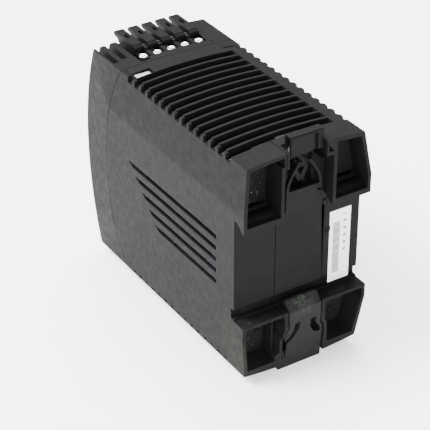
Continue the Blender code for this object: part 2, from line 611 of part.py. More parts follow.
# ---------------------------------------------------------------- rail release
class RailRelease:
    """Button, link, latch and the return spring that works against the button."""

    def __init__(self, shop):
        self.shop = shop
        self.stem_rear = Y_BACK - BUTTON_Y[1] + GAP
        self.stem_front = self.stem_rear - STEM_THICKNESS
        self.link_rear = Y_RAIL - LINK_WALL - GAP
        self.link_front = self.link_rear - LINK_THICKNESS
        self.diamond_low = EDGE_HIGH - DIAMOND_TOP - DIAMOND_HEIGHT

    def build(self):
        """Build the four pieces."""
        self.build_button()
        self.build_link()
        self.build_latch()
        self.build_spring()

    def build_button(self):
        """Build the push button with its stem and diamond-shaped wedge."""
        shop = self.shop
        low, high = EDGE_HIGH - BUTTON_SKIRT, EDGE_HIGH + BUTTON_TOP
        button = shop.part("release_button", box_mesh("release_button", (
            (-BUTTON_HALF, BUTTON_HALF), (Y_BACK - BUTTON_Y[1], Y_BACK - BUTTON_Y[0]),
            (low, high))), "lever_black")
        top = EDGE_HIGH - DIAMOND_TOP
        middle = top - DIAMOND_HEIGHT / 3
        hole = DIAMOND_HALF / 2
        outline = [(-STEM_HALF, low + STEM_RISE), (-STEM_HALF, top), (-DIAMOND_HALF, middle),
                   (-0.8 * MM, self.diamond_low), (0.8 * MM, self.diamond_low),
                   (DIAMOND_HALF, middle), (STEM_HALF, top), (STEM_HALF, low + STEM_RISE)]
        opening = [(-hole, middle + 0.6 * MM), (hole, middle + 0.6 * MM),
                   (0.0, middle - 1.6 * MM)]
        stem = plate_mesh("button_stem", [outline, opening], "Y", (self.stem_front, self.stem_rear))
        groove = box_mesh("button_groove", (
            (-4.6 * MM, -3.3 * MM), (Y_BACK - BUTTON_Y[0] - 0.8 * MM, Y_BACK + OVER),
            (low - OVER, high - 0.9 * MM)))
        shop.add(button, shop.tool("button_stem", stem))
        shop.cut(button, shop.tool("button_groove", groove))

    def build_link(self):
        """Build the flat link that joins button and latch behind the rail wall."""
        low = TONGUE_LOW
        mesh = box_mesh("release_link", (
            (-LINK_HALF, LINK_HALF), (self.link_front, self.link_rear),
            (low, EDGE_HIGH - DIAMOND_TOP)))
        self.shop.part("release_link", mesh, "lever_black")

    def build_latch(self):
        """Build the sprung latch with its nose, spring slots, tongue and foot."""
        shop = self.shop
        front = Y_BACK - LATCH_THICKNESS
        high = LEDGE + LATCH_NOSE_RISE
        latch = shop.part("rail_latch", plate_mesh(
            "rail_latch", [latch_outline(0.0, FOOT_PLANE, high)], "Y", (front, Y_BACK)), "lever_black")
        ramp_outline = [(front, high + OVER), (front, high), (Y_BACK, LEDGE - 0.1 * MM),
                        (Y_BACK + OVER, LEDGE - 0.1 * MM), (Y_BACK + OVER, high + OVER)]
        ramp = shop.tool("nose_ramp", plate_mesh("nose_ramp", [ramp_outline], "X", (-WIDTH, WIDTH)))
        face_outline = [(Y_BACK, LEDGE - 6 * MM), (Y_BACK - LATCH_FOOT_INSET, FOOT_PLANE),
                        (Y_BACK - LATCH_FOOT_INSET, FOOT_PLANE - OVER),
                        (Y_BACK + OVER, FOOT_PLANE - OVER), (Y_BACK + OVER, LEDGE - 6 * MM)]
        face = shop.tool("foot_face", plate_mesh("foot_face", [face_outline], "X", (-WIDTH, WIDTH)))
        slots = []
        for side in (1, -1):
            reach = LATCH_HALF + OVER if side > 0 else LATCH_HALF - 0.9 * MM
            slots.append([(side * 2.0 * MM, LEDGE - 4.5 * MM), (side * 3.7 * MM, LEDGE - 4.5 * MM),
                          (side * 3.7 * MM, LEDGE - 6.6 * MM), (side * 5.4 * MM, LEDGE - 9.1 * MM),
                          (side * reach, LEDGE - 10.1 * MM), (side * reach, LEDGE - 11.8 * MM),
                          (side * 4.6 * MM, LEDGE - 10.8 * MM), (side * 2.0 * MM, LEDGE - 7.6 * MM)])
        openings = [shop.tool(f"latch_slot_{index}", plate_mesh(
            f"latch_slot_{index}", [slot], "Y", (front - OVER, Y_BACK + OVER)))
            for index, slot in enumerate(slots)]
        tongue = shop.tool("latch_tongue", box_mesh("latch_tongue", (
            (-LINK_HALF, LINK_HALF), (self.link_rear + GAP, front + 0.5 * MM),
            (TONGUE_LOW, TONGUE_HIGH))))
        shop.cut(latch, ramp, face, *openings)
        shop.add(latch, tongue)

    def build_spring(self):
        """Build the flat return spring with its two bowed arms."""
        rear = Y_BACK - SPRING_Y
        low = HOOK - HOOK_DROP + 0.6 * MM
        base = low + SPRING_BASE
        top = EDGE_HIGH - BUTTON_SKIRT - SPRING_TOP_GAP
        steps = 6
        outer, inner = [], []
        for step in range(steps + 1):
            share = step / steps
            swing = (1 - math.cos(share * math.pi / 2)) * (SPRING_HALF - 3.0 * MM)
            height = base + (top - base) * share
            outer.append((SPRING_HALF - swing, height))
            inner.append((SPRING_HALF - SPRING_ARM - swing, height))
        right_arm = outer + inner[::-1]
        left_arm = [(-x, z) for x, z in reversed(right_arm)]
        outline = [(-SPRING_HALF, low), (SPRING_HALF, low)] + right_arm + left_arm
        mesh = plate_mesh("release_spring", [outline], "Y", (rear - SPRING_THICKNESS, rear))
        self.shop.part("release_spring", mesh, "lever_black")


# ---------------------------------------------------------------- terminals
class Terminals:
    """One row of lever terminals with its block, clamps, levers and pin."""

    def __init__(self, shop, name, poles, pitch, middle_x, upside_down):
        self.shop = shop
        self.name = name
        self.places = [middle_x + pitch * (index - (poles - 1) / 2) for index in range(poles)][::-1]
        self.upside_down = upside_down
        half = pitch * (poles - 1) / 2 + LEVER_WIDTH / 2 + WELL_SIDE
        self.x_span = (middle_x - half, middle_x + half)
        self.block_top = CROWN_HIGH - WELL_DEPTH
        self.lever_top = CROWN_HIGH + STAND_OFF
        self.pivot = (Y_CORNER + LEVER_PIVOT, self.lever_top - LEVER_BARREL)

    def place(self, mesh):
        """Return the mesh where this row belongs, at the top or at the bottom."""
        return mirror_upside_down(mesh) if self.upside_down else mesh

    def build(self, front_cover):
        """Build every piece of the row and cut its room into the front cover."""
        self.cut_cover(front_cover)
        self.build_block()
        self.build_pin()
        for index, x in enumerate(self.places, start=1):
            self.build_lever(f"{self.name}_lever_{index}", x)
            self.build_clamp(f"{self.name}_clamp_{index}", x)

    def cut_cover(self, front_cover):
        """Cut the lever well, its front lip and the clamp windows."""
        shop, name = self.shop, self.name
        well_rear = self.pivot[0] + LEVER_BARREL + GAP
        wall_in = Y_CORNER + WALL
        well = box_mesh(f"{name}_well", (
            self.x_span, (wall_in, well_rear), (self.block_top - 2 * WALL, CROWN_HIGH + OVER)))
        lip = box_mesh(f"{name}_lip", (
            self.x_span, (Y_APEX, wall_in + OVER), (CROWN_HIGH - LIP_DROP, CROWN_HIGH + OVER)))
        middle = Y_CORNER + CLAMP_Y
        windows = box_mesh(f"{name}_windows", *[
            ((x - CLAMP_WINDOW_X / 2, x + CLAMP_WINDOW_X / 2),
             (middle - CLAMP_RADIUS - GAP, middle + CLAMP_WINDOW_Y / 2),
             (self.block_top, CROWN_HIGH + OVER)) for x in self.places])
        for mesh in (well, lip, windows):
            shop.cut(front_cover, shop.tool(mesh.name, self.place(mesh)))

    def build_block(self):
        """Build the terminal block with its clamp bores and the open saddles that hold the pin."""
        shop, name = self.shop, self.name
        low = self.block_top - TERMINAL_HEIGHT
        inside = (self.x_span[0] + GAP, self.x_span[1] - GAP)
        front, rear = Y_CORNER + TERMINAL_FRONT, Y_CORNER + TERMINAL_REAR
        block = shop.part(f"{name}_terminal_block", self.place(box_mesh(
            f"{name}_terminal_block", (inside, (front, rear), (low, self.block_top)))),
            "terminal_black")
        edges = sorted([x + side * (LEVER_WIDTH / 2 + GAP) for x in self.places for side in (-1, 1)])
        saddles = [(edges[index], edges[index + 1]) for index in range(1, len(edges) - 1, 2)]
        saddle_boxes = [(span, (self.pivot[0] - LEVER_BARREL, self.pivot[0] + LEVER_BARREL),
                        (self.block_top - 1.0 * MM, self.pivot[1] + SADDLE_RISE)) for span in saddles]
        shop.add(block, shop.tool(f"{name}_saddles", self.place(box_mesh(f"{name}_saddles", *saddle_boxes))))
        bore_floor = self.clamp_top() - CLAMP_LENGTH - GAP
        for index, x in enumerate(self.places, start=1):
            bore = rod_mesh(f"{name}_bore_{index}", (x, Y_CORNER + CLAMP_Y), CLAMP_RADIUS + GAP,
                            (bore_floor, CROWN_HIGH), "Z", 12)
            shop.cut(block, shop.tool(f"{name}_bore_{index}", self.place(bore)))
        pin_bore = rod_mesh(f"{name}_pin_bore", self.pivot, PIN_RADIUS + GAP / 2,
                            (self.x_span[0] - OVER, self.x_span[1] + OVER), "X", 12)
        shop.cut(block, shop.tool(f"{name}_pin_bore", self.place(pin_bore)))

    def clamp_top(self):
        """Return the height of the clamp heads."""
        return CROWN_HIGH - CLAMP_SUNK

    def build_pin(self):
        """Build the steel pin that the levers turn on."""
        mesh = rod_mesh(f"{self.name}_lever_pin", self.pivot, PIN_RADIUS,
                        (self.x_span[0] + 2 * GAP, self.x_span[1] - 2 * GAP), "X", 12)
        self.shop.part(f"{self.name}_lever_pin", self.place(mesh), "steel")

    def lever_outline(self):
        """Return the lever seen from the side, from its tip round its barrel."""
        top = self.lever_top
        tip = Y_CORNER - LEVER_TIP
        pivot_y, pivot_z = self.pivot
        turn = [(pivot_y + LEVER_BARREL * math.sin(angle), pivot_z - LEVER_BARREL * math.cos(angle))
                for angle in across(0.0, math.pi, 8)]
        return [(tip, top), (tip, top - LEVER_TIP_THICKNESS),
                (tip + 2.0 * MM, top - 1.9 * MM), (tip + 2.4 * MM, top - 2.4 * MM),
                (tip + 5.2 * MM, top - LEVER_BELLY), (tip + 7.4 * MM, top - LEVER_BELLY)] + turn

    def build_lever(self, name, x):
        """Build one lever with its pin bore and its tool slot."""
        shop = self.shop
        span = (x - LEVER_WIDTH / 2, x + LEVER_WIDTH / 2)
        lever = shop.part(name, self.place(plate_mesh(name, [self.lever_outline()], "X", span)),
                          "lever_black")
        bore = rod_mesh(f"{name}_bore", self.pivot, PIN_RADIUS + GAP,
                        (span[0] - OVER, span[1] + OVER), "X", 12)
        tip = Y_CORNER - LEVER_TIP
        slot = box_mesh(f"{name}_slot", (
            (x - 0.45 * MM, x + 0.45 * MM), (tip + 4.6 * MM, tip + 6.9 * MM),
            (self.lever_top - 1.2 * MM, self.lever_top + OVER)))
        shop.cut(lever, shop.tool(f"{name}_bore", self.place(bore)),
                 shop.tool(f"{name}_slot", self.place(slot)))

    def build_clamp(self, name, x):
        """Build one clamp post with its round head."""
        mesh = rod_mesh(name, (x, Y_CORNER + CLAMP_Y), CLAMP_RADIUS,
                        (self.clamp_top() - CLAMP_LENGTH, self.clamp_top()), "Z", 16)
        self.shop.part(name, self.place(mesh), "tinned_metal")


def cut_fins(shop, front_cover, well_end):
    """Add the solid corner beside the output terminals' well and slot it into fins."""
    x_high = X_LOUVRED - 0.9 * WALL - NOSE_INSET
    y_span = (Y_CORNER + 0.9 * WALL, Y_CORNER + 16.0 * MM)
    block = shop.tool("fin_block", box_mesh("fin_block", (
        (well_end + FIN_BLOCK_ROOM, x_high), y_span, (EDGE_HIGH - FIN_BLOCK_HEIGHT, EDGE_HIGH - WALL / 2))))
    shop.add(front_cover, block)
    slots = shop.tool("fin_slots", box_mesh("fin_slots", *[
        ((X_LOUVRED - far, X_LOUVRED - near), (Y_APEX, Y_CORNER + length),
         (EDGE_HIGH - FIN_SLOT_DEPTH, CROWN_HIGH + OVER))
        for near, far, length in FIN_SLOTS]))
    shop.cut(front_cover, slots)


# ---------------------------------------------------------------- front panel and label
class FrontPanel:
    """Lamp and voltage adjuster on their own board behind the front."""

    def __init__(self, shop):
        self.shop = shop
        self.board_y = Y_APEX + FRONT_BOARD_Y
        self.height = Z_MID + PANEL_Z

    def face_y(self, height):
        """Return where the curved front lies at a height."""
        half = (EDGE_HIGH - EDGE_LOW) / 2
        radius = (half * half + FRONT_BOW * FRONT_BOW) / (2 * FRONT_BOW)
        rise = height - Z_MID
        return Y_APEX + radius - math.sqrt(radius * radius - rise * rise)

    def build(self, front_cover):
        """Build the lamp, the adjuster and the board, and bore the cover for them."""
        shop = self.shop
        face = self.face_y(self.height)
        holes = []
        for name, x, radius in (("lamp", LED_X, LED_RADIUS), ("adjuster", ADJUSTER_X, ADJUSTER_RADIUS)):
            bore = rod_mesh(f"{name}_bore", (x, self.height), radius + GAP,
                            (Y_APEX - OVER, self.board_y), "Y", 16)
            holes.append(shop.tool(f"{name}_bore", bore))
        shop.cut(front_cover, *holes)
        shop.part("status_lamp", rod_mesh(
            "status_lamp", (LED_X, self.height), LED_RADIUS, (face, self.board_y - GAP), "Y", 16),
            "lamp_green")
        base = 3.6 * MM
        shop.part("adjuster_body", box_mesh("adjuster_body", (
            (ADJUSTER_X - base, ADJUSTER_X + base), (self.board_y - 3.2 * MM, self.board_y - GAP),
            (self.height - base, self.height + base))), "adjuster_blue")
        rotor = shop.part("voltage_adjuster", rod_mesh(
            "voltage_adjuster", (ADJUSTER_X, self.height), ADJUSTER_RADIUS,
            (face + 0.8 * MM, self.board_y - 3.2 * MM - GAP), "Y", 16), "adjuster_white")
        slot = box_mesh("adjuster_slot", (
            (ADJUSTER_X - 2 * ADJUSTER_RADIUS, ADJUSTER_X + 2 * ADJUSTER_RADIUS),
            (face - OVER, face + 1.6 * MM), (self.height - 0.35 * MM, self.height + 0.35 * MM)))
        shop.cut(rotor, shop.tool("adjuster_slot", slot))
        shop.part("front_board", box_mesh("front_board", (
            (-19.2 * MM, 16.0 * MM), (self.board_y, self.board_y + 1.6 * MM),
            (Z_MID - 14.0 * MM, self.height + 4.5 * MM))), "board_green")


def build_marks(shop):
    """Build the blank rating label and the blank marking tile."""
    rear = Y_RAIL - LABEL_BED + GAP + LABEL_THICKNESS
    shop.part("rating_label", box_mesh("rating_label", (
        LABEL_X, (rear - LABEL_THICKNESS, rear),
        (LEDGE + LABEL_Z[0], LEDGE + LABEL_Z[1]))), "label_white")
    top = tile_top()
    shop.part("marking_tile", box_mesh("marking_tile", (
        TILE_X, (Y_CORNER + TILE_Y[0], Y_CORNER + TILE_Y[1]),
        (top - TILE_THICKNESS, top))), "tile_grey")


# ---------------------------------------------------------------- electronics
class Electronics:
    """The converter on its main board, which stands beside the plain side."""

    BOARD_X = -17.0 * MM
    BOARD_THICKNESS = 1.6 * MM
    BOARD_Y = (-24.0 * MM, 36.0 * MM)
    BOARD_Z = (-30.5 * MM, 30.5 * MM)      # from mid height

    def __init__(self, shop):
        self.shop = shop
        self.face = self.BOARD_X + self.BOARD_THICKNESS + GAP

    def box(self, name, material, depth, y_span, z_span, start=0.0):
        """Add a block that stands on the board; z is measured from mid height."""
        spans = ((self.face + start, self.face + start + depth), y_span,
                 (Z_MID + z_span[0], Z_MID + z_span[1]))
        return self.shop.part(name, box_mesh(name, spans), material)

    def can(self, name, material, y, z, radius, length):
        """Add a round can whose axis stands square to the board."""
        mesh = rod_mesh(name, (y, Z_MID + z), radius, (self.face, self.face + length), "X", 16)
        return self.shop.part(name, mesh, material)

    def build(self):
        """Build the board and everything on it."""
        shop = self.shop
        shop.part("main_board", box_mesh("main_board", (
            (self.BOARD_X, self.BOARD_X + self.BOARD_THICKNESS), self.BOARD_Y,
            (Z_MID + self.BOARD_Z[0], Z_MID + self.BOARD_Z[1]))), "board_green")
        self.build_transformer()
        self.can("bulk_capacitor", "capacitor_sleeve", 25 * MM, -17.5 * MM, 9 * MM, 31 * MM)
        self.can("output_capacitor_1", "capacitor_sleeve", -18 * MM, 14 * MM, 5 * MM, 20 * MM)
        self.can("output_capacitor_2", "capacitor_sleeve", -6 * MM, 21 * MM, 5 * MM, 20 * MM)
        self.can("fuse", "ceramic", -19 * MM, -25 * MM, 3 * MM, 9 * MM)
        self.box("interference_capacitor", "film_yellow", 14 * MM,
                 (-20 * MM, -6 * MM), (-21 * MM, -13 * MM))
        choke = self.can("line_choke", "copper", 2 * MM, -22 * MM, 7 * MM, 8 * MM)
        hole = rod_mesh("choke_hole", (2 * MM, Z_MID - 22 * MM), 3 * MM,
                        (self.face - OVER, self.face + 8 * MM + OVER), "X", 12)
        shop.cut(choke, shop.tool("choke_hole", hole))
        self.build_heatsinks()

    def build_transformer(self):
        """Build the closed core round its wound coil."""
        shop = self.shop
        y_span, z_span, depth = (-8 * MM, 18 * MM), (-9 * MM, 13 * MM), 24 * MM
        core = self.box("transformer_core", "ferrite", depth, y_span, z_span)
        z_low, z_high = Z_MID + z_span[0], Z_MID + z_span[1]
        leg, limb = 4 * MM, 4.5 * MM
        centre_y = (y_span[0] + y_span[1]) / 2
        windows = [((self.face + leg, self.face + depth - leg), span, (z_low - OVER, z_high + OVER))
                   for span in ((y_span[0] + leg, centre_y - limb), (centre_y + limb, y_span[1] - leg))]
        shop.cut(core, shop.tool("core_windows", box_mesh("core_windows", *windows)))
        ring_x = (self.face + leg + GAP, self.face + depth - leg - GAP)
        outer_y = (y_span[0] + leg + GAP, y_span[1] - leg - GAP)
        inner_y = (centre_y - limb - GAP, centre_y + limb + GAP)
        proud = 2.5 * MM
        outer = [(outer_y[0], z_low - proud), (outer_y[1], z_low - proud),
                 (outer_y[1], z_high + proud), (outer_y[0], z_high + proud)]
        inner = [(inner_y[0], z_low - GAP), (inner_y[1], z_low - GAP),
                 (inner_y[1], z_high + GAP), (inner_y[0], z_high + GAP)]
        mesh = plate_mesh("transformer_winding", [outer, inner], "X", ring_x)
        shop.part("transformer_winding", mesh, "winding_yellow")

    def build_heatsinks(self):
        """Build the two heat sinks and the power devices clipped to them."""
        for name, device, y_span, z, side in (
                ("primary_heatsink", "switching_transistor", (10 * MM, 34 * MM), 26 * MM, -1),
                ("output_heatsink", "output_rectifier", (-23 * MM, -10 * MM), 1 * MM, 1)):
            self.box(name, "aluminium", 26 * MM, y_span, (z, z + 1.5 * MM))
            middle = (y_span[0] + y_span[1]) / 2
            near = z - GAP if side < 0 else z + 1.5 * MM + GAP
            self.box(device, "terminal_black", 15 * MM, (middle - 5 * MM, middle + 5 * MM),
                     sorted((near, near + side * 4.5 * MM)), 3 * MM)


# ---------------------------------------------------------------- assembly
def clear_scene():
    """Remove whatever the scene starts with."""
    for item in list(bpy.data.objects):
        bpy.data.objects.remove(item, do_unlink=True)


def main():
    """Build the whole power supply."""
    clear_scene()
    shop = Workshop()
    shells = Shells(shop)
    front_cover, _, _ = shells.build()
    outputs = Terminals(shop, "output", OUTPUT_POLES, OUTPUT_PITCH, OUTPUT_MIDDLE_X, False)
    outputs.build(front_cover)
    Terminals(shop, "input", INPUT_POLES, INPUT_PITCH, INPUT_MIDDLE_X, True).build(front_cover)
    cut_fins(shop, front_cover, outputs.x_span[1])
    FrontPanel(shop).build(front_cover)
    RailRelease(shop).build()
    build_marks(shop)
    Electronics(shop).build()


main()
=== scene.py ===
"""Looks of a compact DIN-rail power supply: shells, levers, rail release, marks and finishes.

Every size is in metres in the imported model's own frame: the curved front faces -Y, the rail
brackets face +Y, the louvred side faces +X and Z is up.
"""

from __future__ import annotations

import logging
import math
from dataclasses import dataclass, field
from enum import Enum
from typing import Callable, Iterable, Sequence

import bpy
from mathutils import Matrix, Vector


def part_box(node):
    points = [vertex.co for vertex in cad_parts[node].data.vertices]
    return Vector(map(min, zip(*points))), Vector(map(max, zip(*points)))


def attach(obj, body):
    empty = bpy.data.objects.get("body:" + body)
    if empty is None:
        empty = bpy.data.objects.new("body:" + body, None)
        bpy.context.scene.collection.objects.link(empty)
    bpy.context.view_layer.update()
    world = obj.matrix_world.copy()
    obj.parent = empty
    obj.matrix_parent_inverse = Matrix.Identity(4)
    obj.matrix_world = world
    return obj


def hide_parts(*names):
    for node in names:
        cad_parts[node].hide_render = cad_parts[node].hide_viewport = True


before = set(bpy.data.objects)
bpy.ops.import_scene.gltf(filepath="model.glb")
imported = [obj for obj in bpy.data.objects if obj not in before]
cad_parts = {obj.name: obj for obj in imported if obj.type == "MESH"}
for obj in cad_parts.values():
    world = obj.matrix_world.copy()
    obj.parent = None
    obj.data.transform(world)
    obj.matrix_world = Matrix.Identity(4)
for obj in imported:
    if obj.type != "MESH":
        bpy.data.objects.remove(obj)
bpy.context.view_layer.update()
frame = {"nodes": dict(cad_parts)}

log = logging.getLogger("power_supply")

MM = 0.001
Point = Sequence[float]
Span = tuple[float, float]
Outline = Sequence[Span]


class Axis(Enum):
    """A direction of the frame, by its index in a coordinate."""

    X = 0
    Y = 1
    Z = 2

    def vector(self, length: float = 1.0) -> Vector:
        """Return a vector of this length along the axis."""
        made = Vector((0.0, 0.0, 0.0))
        made[self.value] = length
        return made


class Operation(Enum):
    """What a Boolean does with its tool."""

    CUT = "DIFFERENCE"
    KEEP = "INTERSECT"
    ADD = "UNION"


# ------------------------------------------------------------------------- bench tools
def deselect() -> None:
    """Clear the selection."""
    if bpy.context.mode != "OBJECT":
        bpy.ops.object.mode_set(mode="OBJECT")
    bpy.ops.object.select_all(action="DESELECT")


def take(piece: bpy.types.Object) -> None:
    """Make one object the only selected and the active one."""
    deselect()
    piece.select_set(True)
    bpy.context.view_layer.objects.active = piece


def settle(piece: bpy.types.Object, name: str) -> bpy.types.Object:
    """Name a new object and move its place, turn and scale into its mesh.

    Args:
        piece: The object to settle.
        name: Its name.

    Returns:
        The same object, at the origin, unturned and unscaled.
    """
    take(piece)
    bpy.ops.object.transform_apply(location=True, rotation=True, scale=True)
    piece.name = name
    piece.data.name = name
    return piece


def block(name: str, low: Point, high: Point) -> bpy.types.Object:
    """Add a box between two corners.

    Args:
        name: Name of the new object.
        low: Its lowest corner.
        high: Its highest corner.

    Returns:
        The new object.
    """
    deselect()
    first, last = Vector(low), Vector(high)
    bpy.ops.mesh.primitive_cube_add(size=1.0, location=(first + last) / 2)
    piece = bpy.context.object
    piece.scale = last - first
    return settle(piece, name)


def rod(name: str, centre: Point, radius: float, axis: Axis, length: float,
        steps: int = 32) -> bpy.types.Object:
    """Add a cylinder about an axis through its centre.

    Args:
        name: Name of the new object.
        centre: Middle of the cylinder.
        radius: Its radius.
        axis: The direction of its axis.
        length: Its length.
        steps: Sides of its outline.

    Returns:
        The new object.
    """
    deselect()
    turns = {Axis.X: (0.0, math.pi / 2, 0.0), Axis.Y: (math.pi / 2, 0.0, 0.0), Axis.Z: (0.0, 0.0, 0.0)}
    bpy.ops.mesh.primitive_cylinder_add(vertices=steps, radius=radius, depth=length,
                                        location=centre, rotation=turns[axis])
    return settle(bpy.context.object, name)


def plate(name: str, outline: Outline, axis: Axis, start: float, end: float) -> bpy.types.Object:
    """Extrude a flat outline along an axis.

    Args:
        name: Name of the new object.
        outline: Corners in the other two axes, in their order X, Y, Z.
        axis: The direction of the extrusion.
        start: Where it starts on that axis.
        end: Where it ends.

    Returns:
        The new object.
    """
    deselect()
    bpy.ops.mesh.primitive_circle_add(vertices=len(outline), radius=1.0, fill_type="NGON")
    piece = bpy.context.object
    others = [index for index in range(3) if index != axis.value]
    for vertex, corner in zip(piece.data.vertices, outline):
        place = [0.0, 0.0, 0.0]
        place[others[0]], place[others[1]] = corner
        place[axis.value] = start
        vertex.co = place
    piece.data.update()
    bpy.ops.object.mode_set(mode="EDIT")
    bpy.ops.mesh.select_all(action="SELECT")
    bpy.ops.mesh.extrude_region_move(TRANSFORM_OT_translate={"value": axis.vector(end - start)})
    bpy.ops.mesh.select_all(action="SELECT")
    bpy.ops.mesh.normals_make_consistent(inside=False)
    bpy.ops.object.mode_set(mode="OBJECT")
    return settle(piece, name)


def trim(piece: bpy.types.Object, planes: Iterable[tuple[Point, Point]]) -> bpy.types.Object:
    """Cut a convex form with planes and close each cut.

    Args:
        piece: The form to trim.
        planes: A point and an outward normal for each cut.

    Returns:
        The same object.
    """
    take(piece)
    bpy.ops.object.mode_set(mode="EDIT")
    for point, normal in planes:
        bpy.ops.mesh.select_all(action="SELECT")
        bpy.ops.mesh.bisect(plane_co=point, plane_no=normal, use_fill=True, clear_outer=True,
                            threshold=1e-7)
    bpy.ops.mesh.select_all(action="SELECT")
    bpy.ops.mesh.normals_make_consistent(inside=False)
    bpy.ops.object.mode_set(mode="OBJECT")
    return piece


def duplicate(piece: bpy.types.Object, name: str) -> bpy.types.Object:
    """Copy an object with a mesh of its own.

    Args:
        piece: The object to copy.
        name: The copy's name.

    Returns:
        The copy.
    """
    take(piece)
    bpy.ops.object.duplicate(linked=False)
    copy = bpy.context.object
    copy.name = name
    copy.data.name = name
    return copy


def shift(piece: bpy.types.Object, offset: Point) -> bpy.types.Object:
    """Move a piece's mesh by an offset."""
    piece.location = offset
    return settle(piece, piece.name)


def join(name: str, pieces: Sequence[bpy.types.Object]) -> bpy.types.Object:
    """Join objects into one.

    Args:
        name: The joined object's name.
        pieces: The objects, of which the first one stays.

    Returns:
        The joined object.
    """
    deselect()
    for piece in pieces:
        piece.select_set(True)
    bpy.context.view_layer.objects.active = pieces[0]
    if len(pieces) > 1:
        bpy.ops.object.join()
    pieces[0].name = name
    pieces[0].data.name = name
    return pieces[0]


def boolean(piece: bpy.types.Object, tool: bpy.types.Object, operation: Operation = Operation.CUT,
            spend: bool = True) -> bpy.types.Object:
    """Cut, keep or add a tool, with an exact Boolean.

    Args:
        piece: The piece that changes.
        tool: The tool.
        operation: What to do with it.
        spend: Whether the tool is removed afterwards.

    Returns:
        The same piece.
    """
    take(piece)
    modifier = piece.modifiers.new("work", "BOOLEAN")
    modifier.operation = operation.value
    modifier.object = tool
    modifier.solver = "EXACT"
    bpy.ops.object.modifier_apply(modifier=modifier.name)
    if spend:
        bpy.data.objects.remove(tool, do_unlink=True)
    return piece


def cut(piece: bpy.types.Object, tools: Sequence[bpy.types.Object]) -> bpy.types.Object:
    """Take several tools that don't touch each other out of a piece at once."""
    return boolean(piece, join("cutters", tools))


def tidy_mesh(piece: bpy.types.Object) -> None:
    """Merge doubled points and flat neighbouring faces."""
    take(piece)
    bpy.ops.object.mode_set(mode="EDIT")
    bpy.ops.mesh.select_all(action="SELECT")
    bpy.ops.mesh.remove_doubles(threshold=0.004 * MM)
    bpy.ops.mesh.dissolve_degenerate(threshold=0.004 * MM)
    bpy.ops.mesh.dissolve_limited(angle_limit=math.radians(0.25))
    bpy.ops.object.mode_set(mode="OBJECT")


def soften(piece: bpy.types.Object, width: float, segments: int = 2, angle: float = 35.0,
           creases: Callable[[Vector, Vector], bool] | None = None) -> bpy.types.Object:
    """Round a piece's edges a little and shade it smooth between them.

    Args:
        piece: The piece.
        width: Width of the rounding.
        segments: Steps of the rounding.
        angle: Edges sharper than this many degrees are rounded.
        creases: Says for an edge's two ends whether it stays a crisp line.

    Returns:
        The same piece.
    """
    tidy_mesh(piece)
    take(piece)
    if width > 0.0:
        rounding = piece.modifiers.new("rounding", "BEVEL")
        rounding.width = width
        rounding.segments = segments
        rounding.limit_method = "ANGLE"
        rounding.angle_limit = math.radians(angle)
        rounding.use_clamp_overlap = False
        rounding.loop_slide = True
        bpy.ops.object.modifier_apply(modifier=rounding.name)
    bpy.ops.object.shade_smooth_by_angle(angle=math.radians(angle))
    if creases:
        points = piece.data.vertices
        for edge in piece.data.edges:
            if creases(points[edge.vertices[0]].co, points[edge.vertices[1]].co):
                edge.use_edge_sharp = True
    weighting = piece.modifiers.new("weighting", "WEIGHTED_NORMAL")
    weighting.keep_sharp = True
    weighting.weight = 90
    bpy.ops.object.modifier_apply(modifier=weighting.name)
    return piece


def arc_points(centre: tuple[float, float], radius: float, start: float, end: float,
               steps: int) -> list[tuple[float, float]]:
    """Return points on an arc, angles in degrees, counted from the first axis.

    Args:
        centre: Middle of the arc.
        radius: Its radius.
        start: Angle of the first point.
        end: Angle of the last point.
        steps: Steps between the two.

    Returns:
        The points, first to last.
    """
    made = []
    for step in range(steps + 1):
        angle = math.radians(start + (end - start) * step / steps)
        made.append((centre[0] + radius * math.cos(angle), centre[1] + radius * math.sin(angle)))
    return made


# ------------------------------------------------------------------------- finishes
@dataclass(frozen=True)
class Wear:
    """A soft patch of another colour at one place of the surface."""

    place: tuple[float, float, float]
    reach: float
    colour: tuple[float, float, float]
    strength: float
    grain: float = 260.0


@dataclass(frozen=True)
class Specks:
    """Fine pale dust, which lies in a box of the surface."""

    low: tuple[float, float, float]
    high: tuple[float, float, float]
    colour: tuple[float, float, float] = (0.5, 0.49, 0.45)
    size: float = 2600.0
    cover: float = 0.16


@dataclass(frozen=True)
class PaintedLightPanel:
    """Painted light: a paler colour on the flat of both side walls and all below it, so the leaning faces
    above look shaded.
    """

    reach: float = 22.485 * MM
    fade: float = 0.03 * MM
    low: float = 15.9 * MM
    colour: tuple[float, float, float] = (0.0098, 0.0097, 0.0104)


